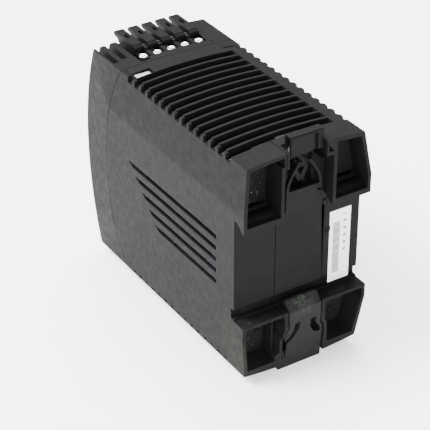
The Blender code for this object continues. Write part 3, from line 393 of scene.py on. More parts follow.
@dataclass(frozen=True)
class Finish:
    """A moulded, printed or metal finish with its own grain and wear.

    Attributes:
        name: The material's name.
        colour: Linear base colour.
        roughness: Mean roughness.
        metallic: 1 for bare metal.
        mottle: How much the colour varies, as a share of itself.
        mottle_scale: Waves of that variation to a metre.
        grain: Height of the surface grain.
        grain_scale: Grains to a metre.
        specular: Specular level of a plain surface.
        coat: Weight of a clear coat.
        painted_light: Painted light, a paler colour on the flat of the side walls and all below it, if the
            finish has one.
        wear: Worn or dirty patches.
        dust: Places where dust lies.
    """

    name: str
    colour: tuple[float, float, float]
    roughness: float
    metallic: float = 0.0
    mottle: float = 0.12
    mottle_scale: float = 120.0
    grain: float = 0.02 * MM
    grain_scale: float = 3200.0
    specular: float = 0.5
    coat: float = 0.0
    painted_light: PaintedLightPanel | None = None
    wear: tuple[Wear, ...] = ()
    dust: tuple[Specks, ...] = ()

    def make(self) -> bpy.types.Material:
        """Build the node material.

        Returns:
            The new material.
        """
        graph = NodeGraph(self.name)
        shader = graph.shader
        shader.inputs["Metallic"].default_value = self.metallic
        shader.inputs["Specular IOR Level"].default_value = self.specular
        shader.inputs["Coat Weight"].default_value = self.coat
        shader.inputs["Coat Roughness"].default_value = 0.2
        cloud = graph.noise(self.mottle_scale, detail=4.0)
        dark = tuple(part * (1.0 - self.mottle) for part in self.colour)
        light = tuple(min(1.0, part * (1.0 + self.mottle)) for part in self.colour)
        colour = graph.ramp(cloud, 0.3, dark, 0.7, light)
        # Painted light: the flat of the side walls and all below it are painted paler, so the leaning faces
        # look shaded.
        if self.painted_light:
            colour = graph.blend(graph.flat(self.painted_light), colour, self.painted_light.colour)
        for patch in self.wear:
            colour = graph.blend(graph.patch(patch), colour, patch.colour)
        for cloudlet in self.dust:
            colour = graph.blend(graph.specks(cloudlet), colour, cloudlet.colour)
        graph.link(colour, shader.inputs["Base Color"])
        grain = graph.noise(self.grain_scale, detail=3.0)
        rough = graph.span(graph.noise(self.mottle_scale * 4.0, detail=3.0),
                           max(0.05, self.roughness - 0.07), min(1.0, self.roughness + 0.07))
        graph.link(rough, shader.inputs["Roughness"])
        graph.bump(grain, self.grain)
        return graph.material


class NodeGraph:
    """A Principled material whose patterns read Object coordinates."""

    def __init__(self, name: str) -> None:
        """Start a material.

        Args:
            name: The material's name.
        """
        self.material = bpy.data.materials.new(name)
        self.material.use_nodes = True
        self.nodes = self.material.node_tree.nodes
        self.shader = self.nodes["Principled BSDF"]
        self.place = self.nodes.new("ShaderNodeTexCoord").outputs["Object"]

    def link(self, source: bpy.types.NodeSocket, target: bpy.types.NodeSocket) -> None:
        """Join two sockets."""
        self.material.node_tree.links.new(source, target)

    def noise(self, scale: float, detail: float = 2.0, stretch: Point = (1.0, 1.0, 1.0)
              ) -> bpy.types.NodeSocket:
        """Return a noise pattern with a number of waves to a metre.

        Args:
            scale: Waves to a metre.
            detail: Finer layers on top of them.
            stretch: How much denser the pattern is along each axis.

        Returns:
            The pattern, from 0 to 1.
        """
        mapping = self.nodes.new("ShaderNodeMapping")
        mapping.inputs["Scale"].default_value = stretch
        self.link(self.place, mapping.inputs["Vector"])
        node = self.nodes.new("ShaderNodeTexNoise")
        node.inputs["Scale"].default_value = scale
        node.inputs["Detail"].default_value = detail
        self.link(mapping.outputs["Vector"], node.inputs["Vector"])
        return node.outputs["Fac"]

    def ramp(self, value: bpy.types.NodeSocket, low: float, low_colour: Point, high: float,
             high_colour: Point) -> bpy.types.NodeSocket:
        """Return a colour that follows a value between two stops.

        Args:
            value: What the colour follows.
            low: Value of the first stop.
            low_colour: Colour up to it.
            high: Value of the second stop.
            high_colour: Colour from it on.

        Returns:
            The colour.
        """
        node = self.nodes.new("ShaderNodeValToRGB")
        stops = node.color_ramp.elements
        stops[0].position, stops[0].color = low, (*low_colour, 1.0)
        stops[1].position, stops[1].color = high, (*high_colour, 1.0)
        self.link(value, node.inputs["Fac"])
        return node.outputs["Color"]

    def span(self, value: bpy.types.NodeSocket, low: float, high: float,
             start: float = 0.3, end: float = 0.7) -> bpy.types.NodeSocket:
        """Return a value mapped from one range to another, kept inside it.

        Args:
            value: What is mapped.
            low: Result at the start of the range.
            high: Result at its end.
            start: Where the range starts.
            end: Where it ends.

        Returns:
            The mapped value.
        """
        node = self.nodes.new("ShaderNodeMapRange")
        node.inputs["From Min"].default_value = start
        node.inputs["From Max"].default_value = end
        node.inputs["To Min"].default_value = low
        node.inputs["To Max"].default_value = high
        self.link(value, node.inputs["Value"])
        return node.outputs["Result"]

    def math(self, operation: str, first: bpy.types.NodeSocket,
             second: bpy.types.NodeSocket | float) -> bpy.types.NodeSocket:
        """Return the result of a sum or comparison.

        Args:
            operation: Name of the node's operation.
            first: First term.
            second: Second term.

        Returns:
            The result.
        """
        node = self.nodes.new("ShaderNodeMath")
        node.operation = operation
        self.link(first, node.inputs[0])
        if isinstance(second, float):
            node.inputs[1].default_value = second
        else:
            self.link(second, node.inputs[1])
        return node.outputs["Value"]

    def blend(self, share: bpy.types.NodeSocket, under: bpy.types.NodeSocket,
              over: Point) -> bpy.types.NodeSocket:
        """Return a colour laid over another by a share.

        Args:
            share: How much of the upper colour shows.
            under: Lower colour.
            over: Upper colour.

        Returns:
            The mixed colour.
        """
        node = self.nodes.new("ShaderNodeMix")
        node.data_type = "RGBA"
        self.link(share, node.inputs["Factor"])
        self.link(under, node.inputs[6])
        node.inputs[7].default_value = (*over, 1.0)
        return node.outputs[2]

    def distance(self, place: Point, squeeze: Point = (1.0, 1.0, 1.0)) -> bpy.types.NodeSocket:
        """Return the distance from a place, with each axis squeezed."""
        mapping = self.nodes.new("ShaderNodeMapping")
        mapping.inputs["Scale"].default_value = squeeze
        mapping.inputs["Location"].default_value = [-p * s for p, s in zip(place, squeeze)]
        self.link(self.place, mapping.inputs["Vector"])
        node = self.nodes.new("ShaderNodeVectorMath")
        node.operation = "LENGTH"
        self.link(mapping.outputs["Vector"], node.inputs[0])
        return node.outputs["Value"]

    def flat(self, painted_light: PaintedLightPanel) -> bpy.types.NodeSocket:
        """Return the share of painted light: 1 on the flat of the side walls and below it, else 0."""
        parts = self.nodes.new("ShaderNodeSeparateXYZ")
        self.link(self.place, parts.inputs["Vector"])
        out = self.math("ABSOLUTE", parts.outputs["X"], 0.0)
        near = self.span(out, 0.0, 1.0, painted_light.reach - painted_light.fade, painted_light.reach)
        near = self.math("MAXIMUM", near, self.math("LESS_THAN", parts.outputs["Z"], painted_light.low))
        return self.math("MULTIPLY", near, self.span(self.noise(90.0, detail=5.0), 0.92, 1.0))

    def patch(self, patch: Wear) -> bpy.types.NodeSocket:
        """Return the share of a worn patch, strongest at its place."""
        near = self.span(self.distance(patch.place), 1.0, 0.0, 0.2 * patch.reach, patch.reach)
        broken = self.span(self.noise(patch.grain, detail=6.0), 0.0, 1.0, 0.38, 0.62)
        return self.math("MULTIPLY", self.math("MULTIPLY", near, broken), patch.strength)

    def specks(self, specks: Specks) -> bpy.types.NodeSocket:
        """Return the share of dust specks inside a box."""
        middle = [(a + b) / 2 for a, b in zip(specks.low, specks.high)]
        halves = [max(abs(b - a) / 2, 0.1 * MM) for a, b in zip(specks.low, specks.high)]
        inside = self.distance(middle, [1.0 / half for half in halves])
        near = self.span(inside, 1.0, 0.0, 0.5, 1.15)
        cells = self.nodes.new("ShaderNodeTexVoronoi")
        cells.inputs["Scale"].default_value = specks.size / 2.0
        self.link(self.place, cells.inputs["Vector"])
        dots = self.span(cells.outputs["Distance"], 1.0, 0.0, specks.cover * 0.5, specks.cover * 1.3)
        drift = self.span(self.noise(420.0, detail=3.0), 0.0, 1.0, 0.48, 0.6)
        return self.math("MULTIPLY", self.math("MULTIPLY", near, dots), drift)

    def bump(self, height: bpy.types.NodeSocket, depth: float) -> None:
        """Drive the shader's normal by a height pattern of a real depth."""
        node = self.nodes.new("ShaderNodeBump")
        node.inputs["Strength"].default_value = 1.0
        node.inputs["Distance"].default_value = depth
        self.link(height, node.inputs["Height"])
        self.link(node.outputs["Normal"], self.shader.inputs["Normal"])


HOUSING_WEAR = (
    Wear((22.5 * MM, 46.0 * MM, 12.0 * MM), 15.0 * MM, (0.017, 0.018, 0.0125), 0.8),
    Wear((22.5 * MM, 44.0 * MM, 3.5 * MM), 9.0 * MM, (0.022, 0.024, 0.02), 0.5, 500.0),
    Wear((22.5 * MM, -32.0 * MM, 20.0 * MM), 14.0 * MM, (0.016, 0.016, 0.0155), 0.4),
)
HOUSING_DUST = (
    Specks((11.0 * MM, 39.0 * MM, 59.0 * MM), (18.5 * MM, 41.5 * MM, 70.0 * MM)),
    Specks((18.0 * MM, 43.0 * MM, 20.5 * MM), (22.5 * MM, 48.0 * MM, 24.0 * MM), cover=0.2),
    Specks((11.5 * MM, 39.0 * MM, 5.0 * MM), (19.0 * MM, 41.5 * MM, 16.0 * MM),
           (0.08, 0.085, 0.065), 2200.0, 0.22),
)
FINISHES = {
    # The housing and the cover carry painted light: a paler flat on their side walls and all below it.
    "housing_black": Finish("housing_black", (0.0062, 0.0061, 0.0066), 0.56, wear=HOUSING_WEAR,
                            dust=HOUSING_DUST, mottle=0.06, specular=0.035, painted_light=PaintedLightPanel()),
    "cover_black": Finish("cover_black", (0.0062, 0.0061, 0.0066), 0.55, wear=HOUSING_WEAR,
                          mottle=0.06, specular=0.035, painted_light=PaintedLightPanel()),
    "lever_black": Finish("lever_black", (0.0044, 0.0044, 0.0047), 0.42, mottle_scale=300.0,
                          grain=0.015 * MM, specular=0.04),
    "latch_black": Finish("latch_black", (0.0115, 0.0118, 0.0118), 0.48, mottle_scale=420.0,
                          specular=0.04,
                          wear=(Wear((0.0, 46.0 * MM, 23.0 * MM), 6.0 * MM, (0.034, 0.039, 0.032),
                                     0.9, 900.0),)),
    "terminal_black": Finish("terminal_black", (0.007, 0.007, 0.007), 0.55, specular=0.12),
    "tinned_metal": Finish("tinned_metal", (0.92, 0.9, 0.86), 0.28, 1.0, grain=0.004 * MM),
    "steel": Finish("steel", (0.018, 0.018, 0.019), 0.4, 1.0, grain=0.004 * MM),
    "tile_grey": Finish("tile_grey", (0.26, 0.26, 0.26), 0.45, mottle=0.08),
    "board_green": Finish("board_green", (0.02, 0.1, 0.045), 0.35, coat=0.3, mottle=0.2,
                          mottle_scale=900.0),
    "ferrite": Finish("ferrite", (0.05, 0.05, 0.052), 0.65, mottle=0.2, mottle_scale=800.0),
    "winding_yellow": Finish("winding_yellow", (0.5, 0.36, 0.05), 0.4, mottle=0.15,
                             mottle_scale=700.0),
    "capacitor_sleeve": Finish("capacitor_sleeve", (0.02, 0.03, 0.06), 0.3, coat=0.2),
    "film_yellow": Finish("film_yellow", (0.4, 0.28, 0.04), 0.4),
    "aluminium": Finish("aluminium", (0.1, 0.1, 0.105), 0.5, 1.0, grain=0.006 * MM),
    "copper": Finish("copper", (0.72, 0.33, 0.15), 0.3, 1.0, grain=0.006 * MM, grain_scale=1500.0),
    "ceramic": Finish("ceramic", (0.72, 0.7, 0.63), 0.45),
    "adjuster_blue": Finish("adjuster_blue", (0.03, 0.12, 0.42), 0.35),
    "adjuster_white": Finish("adjuster_white", (0.78, 0.78, 0.73), 0.4, mottle=0.04),
}


class Palette:
    """Makes each finish once and dresses pieces with it."""

    def __init__(self) -> None:
        """Start with no material made."""
        self.made: dict[str, bpy.types.Material] = {}

    def get(self, name: str) -> bpy.types.Material:
        """Return a finish's material, which is made at first use."""
        if name not in self.made:
            makers = {"label_white": LabelPrint().make, "lamp_green": LampLens().make}
            maker = makers[name] if name in makers else FINISHES[name].make
            self.made[name] = maker()
        return self.made[name]

    def dress(self, piece: bpy.types.Object, name: str) -> None:
        """Give a piece one finish all over."""
        piece.data.materials.clear()
        piece.data.materials.append(self.get(name))


@dataclass(frozen=True)
class LabelPrint:
    """White foil with a plain block of bars and grey rules, which carry no code."""

    paper: tuple[float, float, float] = (0.74, 0.74, 0.72)
    ink: tuple[float, float, float] = (0.045, 0.045, 0.05)
    bar_pitch: float = 0.9 * MM

    def make(self) -> bpy.types.Material:
        """Build the printed foil.

        Returns:
            The new material.
        """
        graph = NodeGraph("label_white")
        low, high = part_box("rating_label")
        parts = graph.nodes.new("ShaderNodeSeparateXYZ")
        graph.link(graph.place, parts.inputs["Vector"])
        across, up = parts.outputs["X"], parts.outputs["Z"]
        width = high.x - low.x
        tall = high.z - low.z
        in_block = self.between(graph, across, low.x + 0.50 * width, low.x + 0.83 * width)
        in_block = graph.math("MULTIPLY", in_block,
                              self.between(graph, up, low.z + 0.12 * tall, low.z + 0.83 * tall))
        bars = self.wave(graph, up, self.bar_pitch, 0.56)
        fine = self.wave(graph, up, self.bar_pitch * 0.37, 0.66)
        bars = graph.math("MAXIMUM", bars, fine)
        block_share = graph.math("MULTIPLY", in_block, bars)
        in_rules = self.between(graph, across, low.x + 0.20 * width, low.x + 0.34 * width)
        rules = graph.math("MULTIPLY", in_rules,
                           self.between(graph, up, low.z + 0.40 * tall, low.z + 0.92 * tall))
        dashes = self.wave(graph, up, 2.6 * MM, 0.38)
        strokes = graph.math("MULTIPLY", rules, dashes)
        share = graph.math("MULTIPLY", graph.math("MAXIMUM", block_share, strokes), 0.85)
        cloud = graph.ramp(graph.noise(300.0, 4.0), 0.3, [0.95 * part for part in self.paper],
                           0.7, self.paper)
        graph.link(graph.blend(share, cloud, self.ink), graph.shader.inputs["Base Color"])
        graph.shader.inputs["Roughness"].default_value = 0.42
        graph.bump(graph.noise(1800.0, 2.0), 0.01 * MM)
        return graph.material

    @staticmethod
    def between(graph: NodeGraph, value: bpy.types.NodeSocket, low: float,
                high: float) -> bpy.types.NodeSocket:
        """Return 1 where a value lies between two limits, else 0.

        Args:
            graph: Graph the nodes go in.
            value: What is compared.
            low: Lower limit.
            high: Upper limit.

        Returns:
            The share, 0 or 1.
        """
        return graph.math("MULTIPLY", graph.math("GREATER_THAN", value, low),
                          graph.math("LESS_THAN", value, high))

    @staticmethod
    def wave(graph: NodeGraph, value: bpy.types.NodeSocket, pitch: float,
             share: float) -> bpy.types.NodeSocket:
        """Return 1 over a share of each pitch along a value, else 0.

        Args:
            graph: Graph the nodes go in.
            value: Place along the pattern.
            pitch: Length of one repeat.
            share: Part of it that is 1.

        Returns:
            The share, 0 or 1.
        """
        turns = graph.math("DIVIDE", value, pitch)
        return graph.math("GREATER_THAN", graph.math("FRACT", turns, 0.0), 1.0 - share)


@dataclass(frozen=True)
class LampLens:
    """Clear green lens of the status lamp, unlit."""

    colour: tuple[float, float, float] = (0.12, 0.5, 0.2)

    def make(self) -> bpy.types.Material:
        """Build the lens material.

        Returns:
            The new material.
        """
        graph = NodeGraph("lamp_green")
        shader = graph.shader
        depth = graph.ramp(graph.noise(900.0), 0.3, [0.7 * part for part in self.colour], 0.7,
                           self.colour)
        graph.link(depth, shader.inputs["Base Color"])
        shader.inputs["Roughness"].default_value = 0.15
        shader.inputs["Transmission Weight"].default_value = 0.35
        shader.inputs["IOR"].default_value = 1.49
        return graph.material


# ------------------------------------------------------------------------- shells
@dataclass
class HousingForm:
    """The outer form that the three shells share, and the cuts that all of them see.

    Attributes:
        width: Across the rail.
        crown_low: Lowest point of the crowned bottom.
        crown_high: Highest point of the crowned top.
        crown: Rise of both crowns.
        bow: Rise of the curved front.
        seam_radius: Radius of the seam between the front cover and the rear shells, seen from the side.
    """

    width: float = 45.0 * MM
    crown_low: float = 1.9 * MM
    crown_high: float = 76.9 * MM
    crown: float = 1.2 * MM
    bow: float = 7.8 * MM
    apex: float = -48.0 * MM
    back: float = 48.0 * MM
    rail_wall: float = 43.0 * MM
    lean: float = 0.8 * MM
    taper: float = 3.2 * MM
    lean_top: float = 16.5 * MM
    lean_bottom: float = 12.8 * MM
    taper_top: float = 15.1 * MM
    taper_bottom: float = 13.5 * MM
    nose_length: float = 16.6 * MM
    nose_inset: float = 1.5 * MM
    seam_at_edge: float = 17.4 * MM
    seam_rise: float = 10.0 * MM
    crown_steps: int = 16
    bow_steps: int = 26

    def __post_init__(self) -> None:
        """Work out the places that follow from the sizes."""
        self.left = self.width / 2
        self.right = -self.width / 2
        self.edge_low = self.crown_low + self.crown
        self.edge_high = self.crown_high - self.crown
        self.middle = (self.edge_low + self.edge_high) / 2
        self.corner = self.apex + self.bow
        self.half = (self.edge_high - self.edge_low) / 2
        self.bow_radius = (self.half ** 2 + self.bow ** 2) / (2 * self.bow)
        self.seam_radius = (self.half ** 2 + self.seam_rise ** 2) / (2 * self.seam_rise)
        seam_front = self.corner + self.seam_at_edge - self.seam_rise
        self.seam_centre = (0.0, seam_front + self.seam_radius, self.middle)
        self.top_left = self.left - self.lean
        self.top_right = self.right + self.taper
        self.crown_centre = (self.top_left + self.top_right) / 2
        self.crown_half = (self.top_left - self.top_right) / 2

    def crown_height(self, x: float) -> float:
        """Return the height of the crowned top at a place across the housing."""
        share = (x - self.crown_centre) / self.crown_half
        return self.edge_high + self.crown * (1.0 - share * share)

    def crown_slope(self, x: float) -> float:
        """Return the slope of the crowned top at a place across the housing."""
        return -2.0 * self.crown * (x - self.crown_centre) / self.crown_half ** 2

    def front_y(self, z: float) -> float:
        """Return where the curved front lies at a height."""
        rise = z - self.middle
        return self.apex + self.bow_radius - math.sqrt(self.bow_radius ** 2 - rise ** 2)

    def planes(self, side: float, roof: float) -> list[tuple[Point, Point]]:
        """Return the planes that bound the form, moved in by a wall.

        Args:
            side: Wall of the sides and the front.
            roof: Wall of the top and the bottom.

        Returns:
            A point and an outward normal for each plane.
        """
        made = []
        for step in range(self.crown_steps):
            x = self.crown_centre + self.crown_half * (2.0 * (step + 0.5) / self.crown_steps - 1.0)
            z, slope = self.crown_height(x) - roof, self.crown_slope(x)
            made.append(((x, 0.0, z), (-slope, 0.0, 1.0)))
            made.append(((x, 0.0, 2 * self.middle - z), (-slope, 0.0, -1.0)))
        reach = math.asin((self.half + self.crown) / self.bow_radius)
        radius = self.bow_radius - side
        for step in range(self.bow_steps):
            angle = reach * (2.0 * (step + 0.5) / self.bow_steps - 1.0)
            normal = (0.0, -math.cos(angle), math.sin(angle))
            made.append(((0.0, self.apex + self.bow_radius + radius * normal[1],
                          self.middle + radius * normal[2]), normal))
        left, right = self.left - side, self.right + side
        made.append(((left, 0.0, self.edge_high - self.lean_top), (self.lean_top, 0.0, self.lean)))
        made.append(((left, 0.0, self.edge_low + self.lean_bottom), (self.lean_bottom, 0.0, -self.lean)))
        made.append(((right, 0.0, self.edge_high - self.taper_top), (-self.taper_top, 0.0, self.taper)))
        made.append(((right, 0.0, self.edge_low + self.taper_bottom),
                     (-self.taper_bottom, 0.0, -self.taper)))
        shoulder = self.apex + self.nose_length
        made.append(((left, shoulder, 0.0), (self.nose_length, -self.nose_inset, 0.0)))
        made.append(((right, shoulder, 0.0), (-self.nose_length, -self.nose_inset, 0.0)))
        return made

    def solid(self, name: str, side: float = 0.0, roof: float = 0.0,
              back: float | None = None) -> bpy.types.Object:
        """Build the whole form, or the hollow inside its walls.

        Args:
            name: Name of the new object.
            side: Wall of the sides and the front.
            roof: Wall of the top and the bottom.
            back: Where the form ends at the back.

        Returns:
            The new object.
        """
        rear = self.back if back is None else back
        form = block(name, (self.right + side, self.apex + side, self.crown_low + roof),
                     (self.left - side, rear, self.crown_high - roof))
        return trim(form, self.planes(side, roof))

    def seam_drum(self, name: str, gap: float) -> bpy.types.Object:
        """Build the drum whose rim is the seam, made wider by a gap."""
        return rod(name, self.seam_centre, self.seam_radius + gap, Axis.X, 2 * self.width, steps=288)

    def is_crease(self, first: Vector, last: Vector) -> bool:
        """Say whether an edge lies on one of the fold lines of the sides."""
        tolerance = 0.02 * MM
        heights = {self.left: (self.edge_high - self.lean_top, self.edge_low + self.lean_bottom),
                   self.right: (self.edge_high - self.taper_top, self.edge_low + self.taper_bottom)}
        for point in (first, last):
            side = self.left if point.x > 0 else self.right
            nose = point.y < self.apex + self.nose_length + tolerance
            reach = self.nose_inset + tolerance if nose else tolerance
            if abs(point.x - side) > reach:
                return False
            on_fold = any(abs(point.z - height) < tolerance for height in heights[side])
            on_shoulder = abs(point.y - self.apex - self.nose_length) < tolerance
            if not (on_fold or on_shoulder):
                return False
        return abs(first.z - last.z) < tolerance or abs(first.y - last.y) < tolerance


@dataclass
class RearShells:
    """Housing body and louvred side cover.

    Attributes:
        form: The outer form.
        wall: Thickness of the sides.
        roof: Depth of the grille bars, measured from the crowned top.
        split: Where the side cover's wall starts.
        rear_split: Where its rear part ends.
    """

    form: HousingForm
    wall: float = 1.8 * MM
    roof: float = 3.2 * MM
    split: float = 20.45 * MM
    rear_split: float = 8.0 * MM
    block_front: float = 38.3 * MM
    joint: float = 0.08 * MM
    frame: float = 1.2 * MM
    pocket_depth: float = 8.0 * MM
    ledge: float = 21.2 * MM
    hook: float = 56.7 * MM
    hook_drop: float = 2.5 * MM
    channel: float = 8.5 * MM
    shoulder: float = 71.4 * MM
    slots: int = 14
    pitch: float = 3.95 * MM
    slot_width: float = 2.9 * MM
    first_slot: float = -15.3 * MM
    notches: int = 15
    notch_width: float = 2.5 * MM
    first_notch: float = -18.3 * MM
    notch_height: float = 1.9 * MM
    tick_width: float = 1.1 * MM
    tick_height: float = 0.7 * MM
    tick_lift: float = 0.5 * MM
    web_recess: float = 3.2 * MM
    louvre_wall: float = 0.8 * MM
    far: float = 6.0 * MM

    def build(self) -> tuple[bpy.types.Object, bpy.types.Object]:
        """Build both shells.

        Returns:
            The housing body and the side cover.
        """
        form = self.form
        shell = form.solid("shell")
        boolean(shell, form.seam_drum("rear_room", -0.03 * MM), Operation.KEEP)
        boolean(shell, form.solid("hollow", self.wall, self.roof, self.block_front))
        self.cut_rear(shell)
        side = duplicate(shell, "side_cover_shell")
        boolean(shell, self.side_room("side_room", -self.joint))
        boolean(side, self.side_room("side_form", self.joint), Operation.KEEP)
        shell.name = "housing_shell"
        self.cut_slots(shell)
        last = self.rows(self.first_slot, self.slots)[-1]
        for low, high in ((form.crown_high - 6.5 * MM, form.crown_high + self.far),
                          (form.crown_low - self.far, form.crown_low + 6.5 * MM)):
            boolean(side, self.through("last_slot", (self.rear_split - self.far, self.split + self.joint),
                                       (last, last + self.slot_width), (low, high)))
        self.cut_body_details(shell)
        self.cut_notches(side)
        self.cut_louvres(side)
        for piece in (shell, side):
            soften(piece, 0.14 * MM, creases=form.is_crease)
        return shell, side

    def side_room(self, name: str, gap: float) -> bpy.types.Object:
        """Build the L-shaped room of the side cover, seen from above."""
        form = self.form
        front, rear = form.apex - self.far, form.back + self.far
        corner_y = self.block_front + gap
        outline = [(self.rear_split + gap, rear), (self.rear_split + gap, corner_y),
                   (self.split + gap, corner_y), (self.split + gap, front),
                   (form.width, front), (form.width, rear)]
        return plate(name, outline, Axis.Z, -self.far, form.crown_high + self.far)

    def through(self, name: str, x: Span, y: Span, z: Span) -> bpy.types.Object:
        """Return a box given by its span on each axis.

        Args:
            name: Name of the box.
            x: Span across.
            y: Span from front to back.
            z: Span of heights.

        Returns:
            The box.
        """
        return block(name, (x[0], y[0], z[0]), (x[1], y[1], z[1]))

    def cut_rear(self, shell: bpy.types.Object) -> None:
        """Cut the rail recess, the pockets, the channel and the rooms of the release."""
        form, far = self.form, self.far
        wide = form.width
        wall, back = form.rail_wall, form.back
        seat, lip = wall + 1.3 * MM, back - 0.5 * MM
        recess = [(wall, self.ledge), (wall, self.hook), (seat, self.hook), (lip, self.hook - self.hook_drop),
                  (back + far, self.hook - self.hook_drop), (back + far, self.ledge)]
        boolean(shell, plate("recess", recess, Axis.X, -wide, wide))
        groove = (self.ledge + 0.6 * MM, self.ledge + 3.9 * MM)
        cut(shell, [self.through("groove", (-wide, wide), (wall - 1.5 * MM, wall + far), groove)])
        self.cut_pockets(shell)
        cut(shell, [
            self.through("channel", (-self.channel, self.channel), (wall, back + far),
                         (self.hook - far, self.shoulder)),
            self.through("button_slot", (-5.9 * MM, 7.1 * MM), (back - 5.2 * MM, back + far),
                         (self.shoulder + 0.001 * MM, form.crown_high + far))])
        cut(shell, [
            self.through("stem_room", (-4.2 * MM, 4.2 * MM), (self.block_front - far, wall + far),
                         (60.2 * MM, form.crown_high - 1.8 * MM))])
        room = self.latch_room()
        boolean(shell, plate("latch_room", room, Axis.Y, back - 4.0 * MM, back + far))
        cut(shell, [self.through("tongue_room", (-2.8 * MM, 2.8 * MM),
                                 (self.block_front - far, back - 3.0 * MM), (8.1 * MM, 15.3 * MM))])

    def latch_room(self) -> list[tuple[float, float]]:
        """Return the outline of the latch's room, seen from behind."""
        low, high = self.form.crown_low - self.far, self.ledge + self.far
        outline = [(6.1, high / MM), (6.1, 19.0), (5.8, 15.0), (7.5, 12.0), (7.7, 8.0), (6.6, 7.4),
                   (6.6, 4.2), (9.3, 4.2), (9.3, low / MM)]
        other = [(-7.1, low / MM), (-7.1, 7.2), (-7.4, 8.4), (-7.2, 11.6), (-6.3, 13.4), (-6.3, high / MM)]
        return [(x * MM, z * MM) for x, z in outline + other]

    def cut_pockets(self, shell: bpy.types.Object) -> None:
        """Cut the four pockets with their stepped edges, and the ledges on their floors."""
        form, frame_wall, far = self.form, self.frame, self.far
        floor = form.back - self.pocket_depth
        low, high = self.hook - 0.6 * MM, form.edge_high - frame_wall
        left, right = form.left - frame_wall, form.right + frame_wall
        inner, step = self.channel + frame_wall, 8.7 * MM
        top = [(left - form.lean, high), (14.0 * MM, form.crown_height(14.0 * MM) - frame_wall),
               (step, form.crown_height(step) - frame_wall)]
        upper_left = [(inner, low), (left, low), (left, form.edge_high - form.lean_top)] + top + [
            (step, self.shoulder + frame_wall), (inner, self.shoulder + frame_wall)]
        upper_right = [(-inner, low), (-inner, form.crown_height(-inner) - frame_wall),
                       (right + form.taper, high), (right, form.edge_high - form.taper_top), (right, low)]
        roof, base = self.ledge - frame_wall, form.edge_low + 1.7 * MM
        lower_left = [(left - form.lean, base), (left, form.edge_low + form.lean_bottom), (left, roof),
                      (7.5 * MM, roof), (7.2 * MM, 14.4 * MM), (9.0 * MM, 11.4 * MM),
                      (9.0 * MM, 7.4 * MM), (10.7 * MM, 6.6 * MM), (10.7 * MM, base)]
        lower_right = [(-8.6 * MM, base), (-8.6 * MM, 7.0 * MM), (-8.4 * MM, 11.9 * MM),
                       (-7.6 * MM, 13.8 * MM), (-7.6 * MM, roof), (right, roof),
                       (right, form.edge_low + form.taper_bottom), (right + form.taper, base)]
        cut(shell, [plate(f"pocket_{index}", outline, Axis.Y, floor, form.back + far)
                    for index, outline in enumerate((upper_left, upper_right, lower_left, lower_right))])
        groove_z = (low + 1.5 * MM, low + 2.2 * MM)
        cut(shell, [
            self.through("floor_groove_left", (inner + 0.4 * MM, left - 0.6 * MM),
                         (floor - 1.2 * MM, floor + 1.0 * MM), groove_z),
            self.through("floor_groove_right", (right + 0.6 * MM, -inner - 0.4 * MM),
                         (floor - 1.2 * MM, floor + 1.0 * MM), groove_z),
            self.through("corner_window", (step + 0.2 * MM, 10.6 * MM), (floor - 1.2 * MM, floor + 1.0 * MM),
                         (self.shoulder + 1.5 * MM, self.shoulder + 3.4 * MM))])
        bead = 0.75 * MM
        for side, x_low, x_high in (("left", inner - 0.3 * MM, left + 0.3 * MM),
                                    ("right", right - 0.3 * MM, -inner + 0.3 * MM)):
            tool = rod(f"bead_{side}", ((x_low + x_high) / 2, floor + 0.45 * MM, low + 0.75 * MM), bead,
                       Axis.X, x_high - x_low, steps=24)
            boolean(shell, tool, Operation.ADD)
            boolean(shell, plate(f"hook_web_{side}", self.hook_web(), Axis.X, x_low, x_high), Operation.ADD)
        boolean(shell, self.through("pocket_web", (9.4 * MM, 10.0 * MM),
                                    (floor - 0.4 * MM, form.back - self.web_recess),
                                    (base - 0.4 * MM, roof + 0.4 * MM)), Operation.ADD)
        self.cut_mould_marks(shell, floor)
        mark = [(-6.5 * MM, 75.0 * MM), (-6.7 * MM, 72.9 * MM), (-8.4 * MM, 72.7 * MM)]
        boolean(shell, plate("frame_mark", mark, Axis.Y, form.back - 1.4 * MM, form.back + far))

    def hook_web(self) -> list[tuple[float, float]]:
        """Return the outline of the thin web that closes an upper pocket over the hook."""
        wall, hook = self.form.rail_wall, self.hook
        return [(wall - 0.3 * MM, hook - 0.7 * MM), (wall - 0.02 * MM, hook - 0.7 * MM),
                (wall - 0.02 * MM, hook + 0.02 * MM), (wall + 1.3 * MM, hook + 0.02 * MM),
                (wall + 2.4 * MM, hook - 0.83 * MM), (wall + 2.8 * MM, hook - 0.83 * MM),
                (wall + 2.8 * MM, hook - 0.5 * MM), (wall + 1.5 * MM, hook + 0.3 * MM),
                (wall - 0.3 * MM, hook + 0.3 * MM)]

    def cut_mould_marks(self, shell: bpy.types.Object, floor: float) -> None:
        """Cut the round ejector marks in the floors of the lower pockets."""
        deep = 0.35 * MM
        marks = [rod(f"mark_{index}", (x * MM, floor, z * MM), radius * MM, Axis.Y, 2 * deep, steps=24)
                 for index, (x, z, radius) in enumerate(((12.0, 11.6, 1.5), (-15.5, 9.7, 1.6)))]
        cut(shell, marks)
        pins = [rod(f"pin_{index}", (x * MM, floor, z * MM), radius * MM, Axis.Y, 2 * deep, steps=24)
                for index, (x, z, radius) in enumerate(((12.0, 11.6, 0.9), (-15.5, 9.7, 0.95)))]
        for pin in pins:
            boolean(shell, pin, Operation.ADD)

    def rows(self, first: float, count: int) -> list[float]:
        """Return the front edges of a row of slots or notches."""
        return [first + self.pitch * index for index in range(count)]

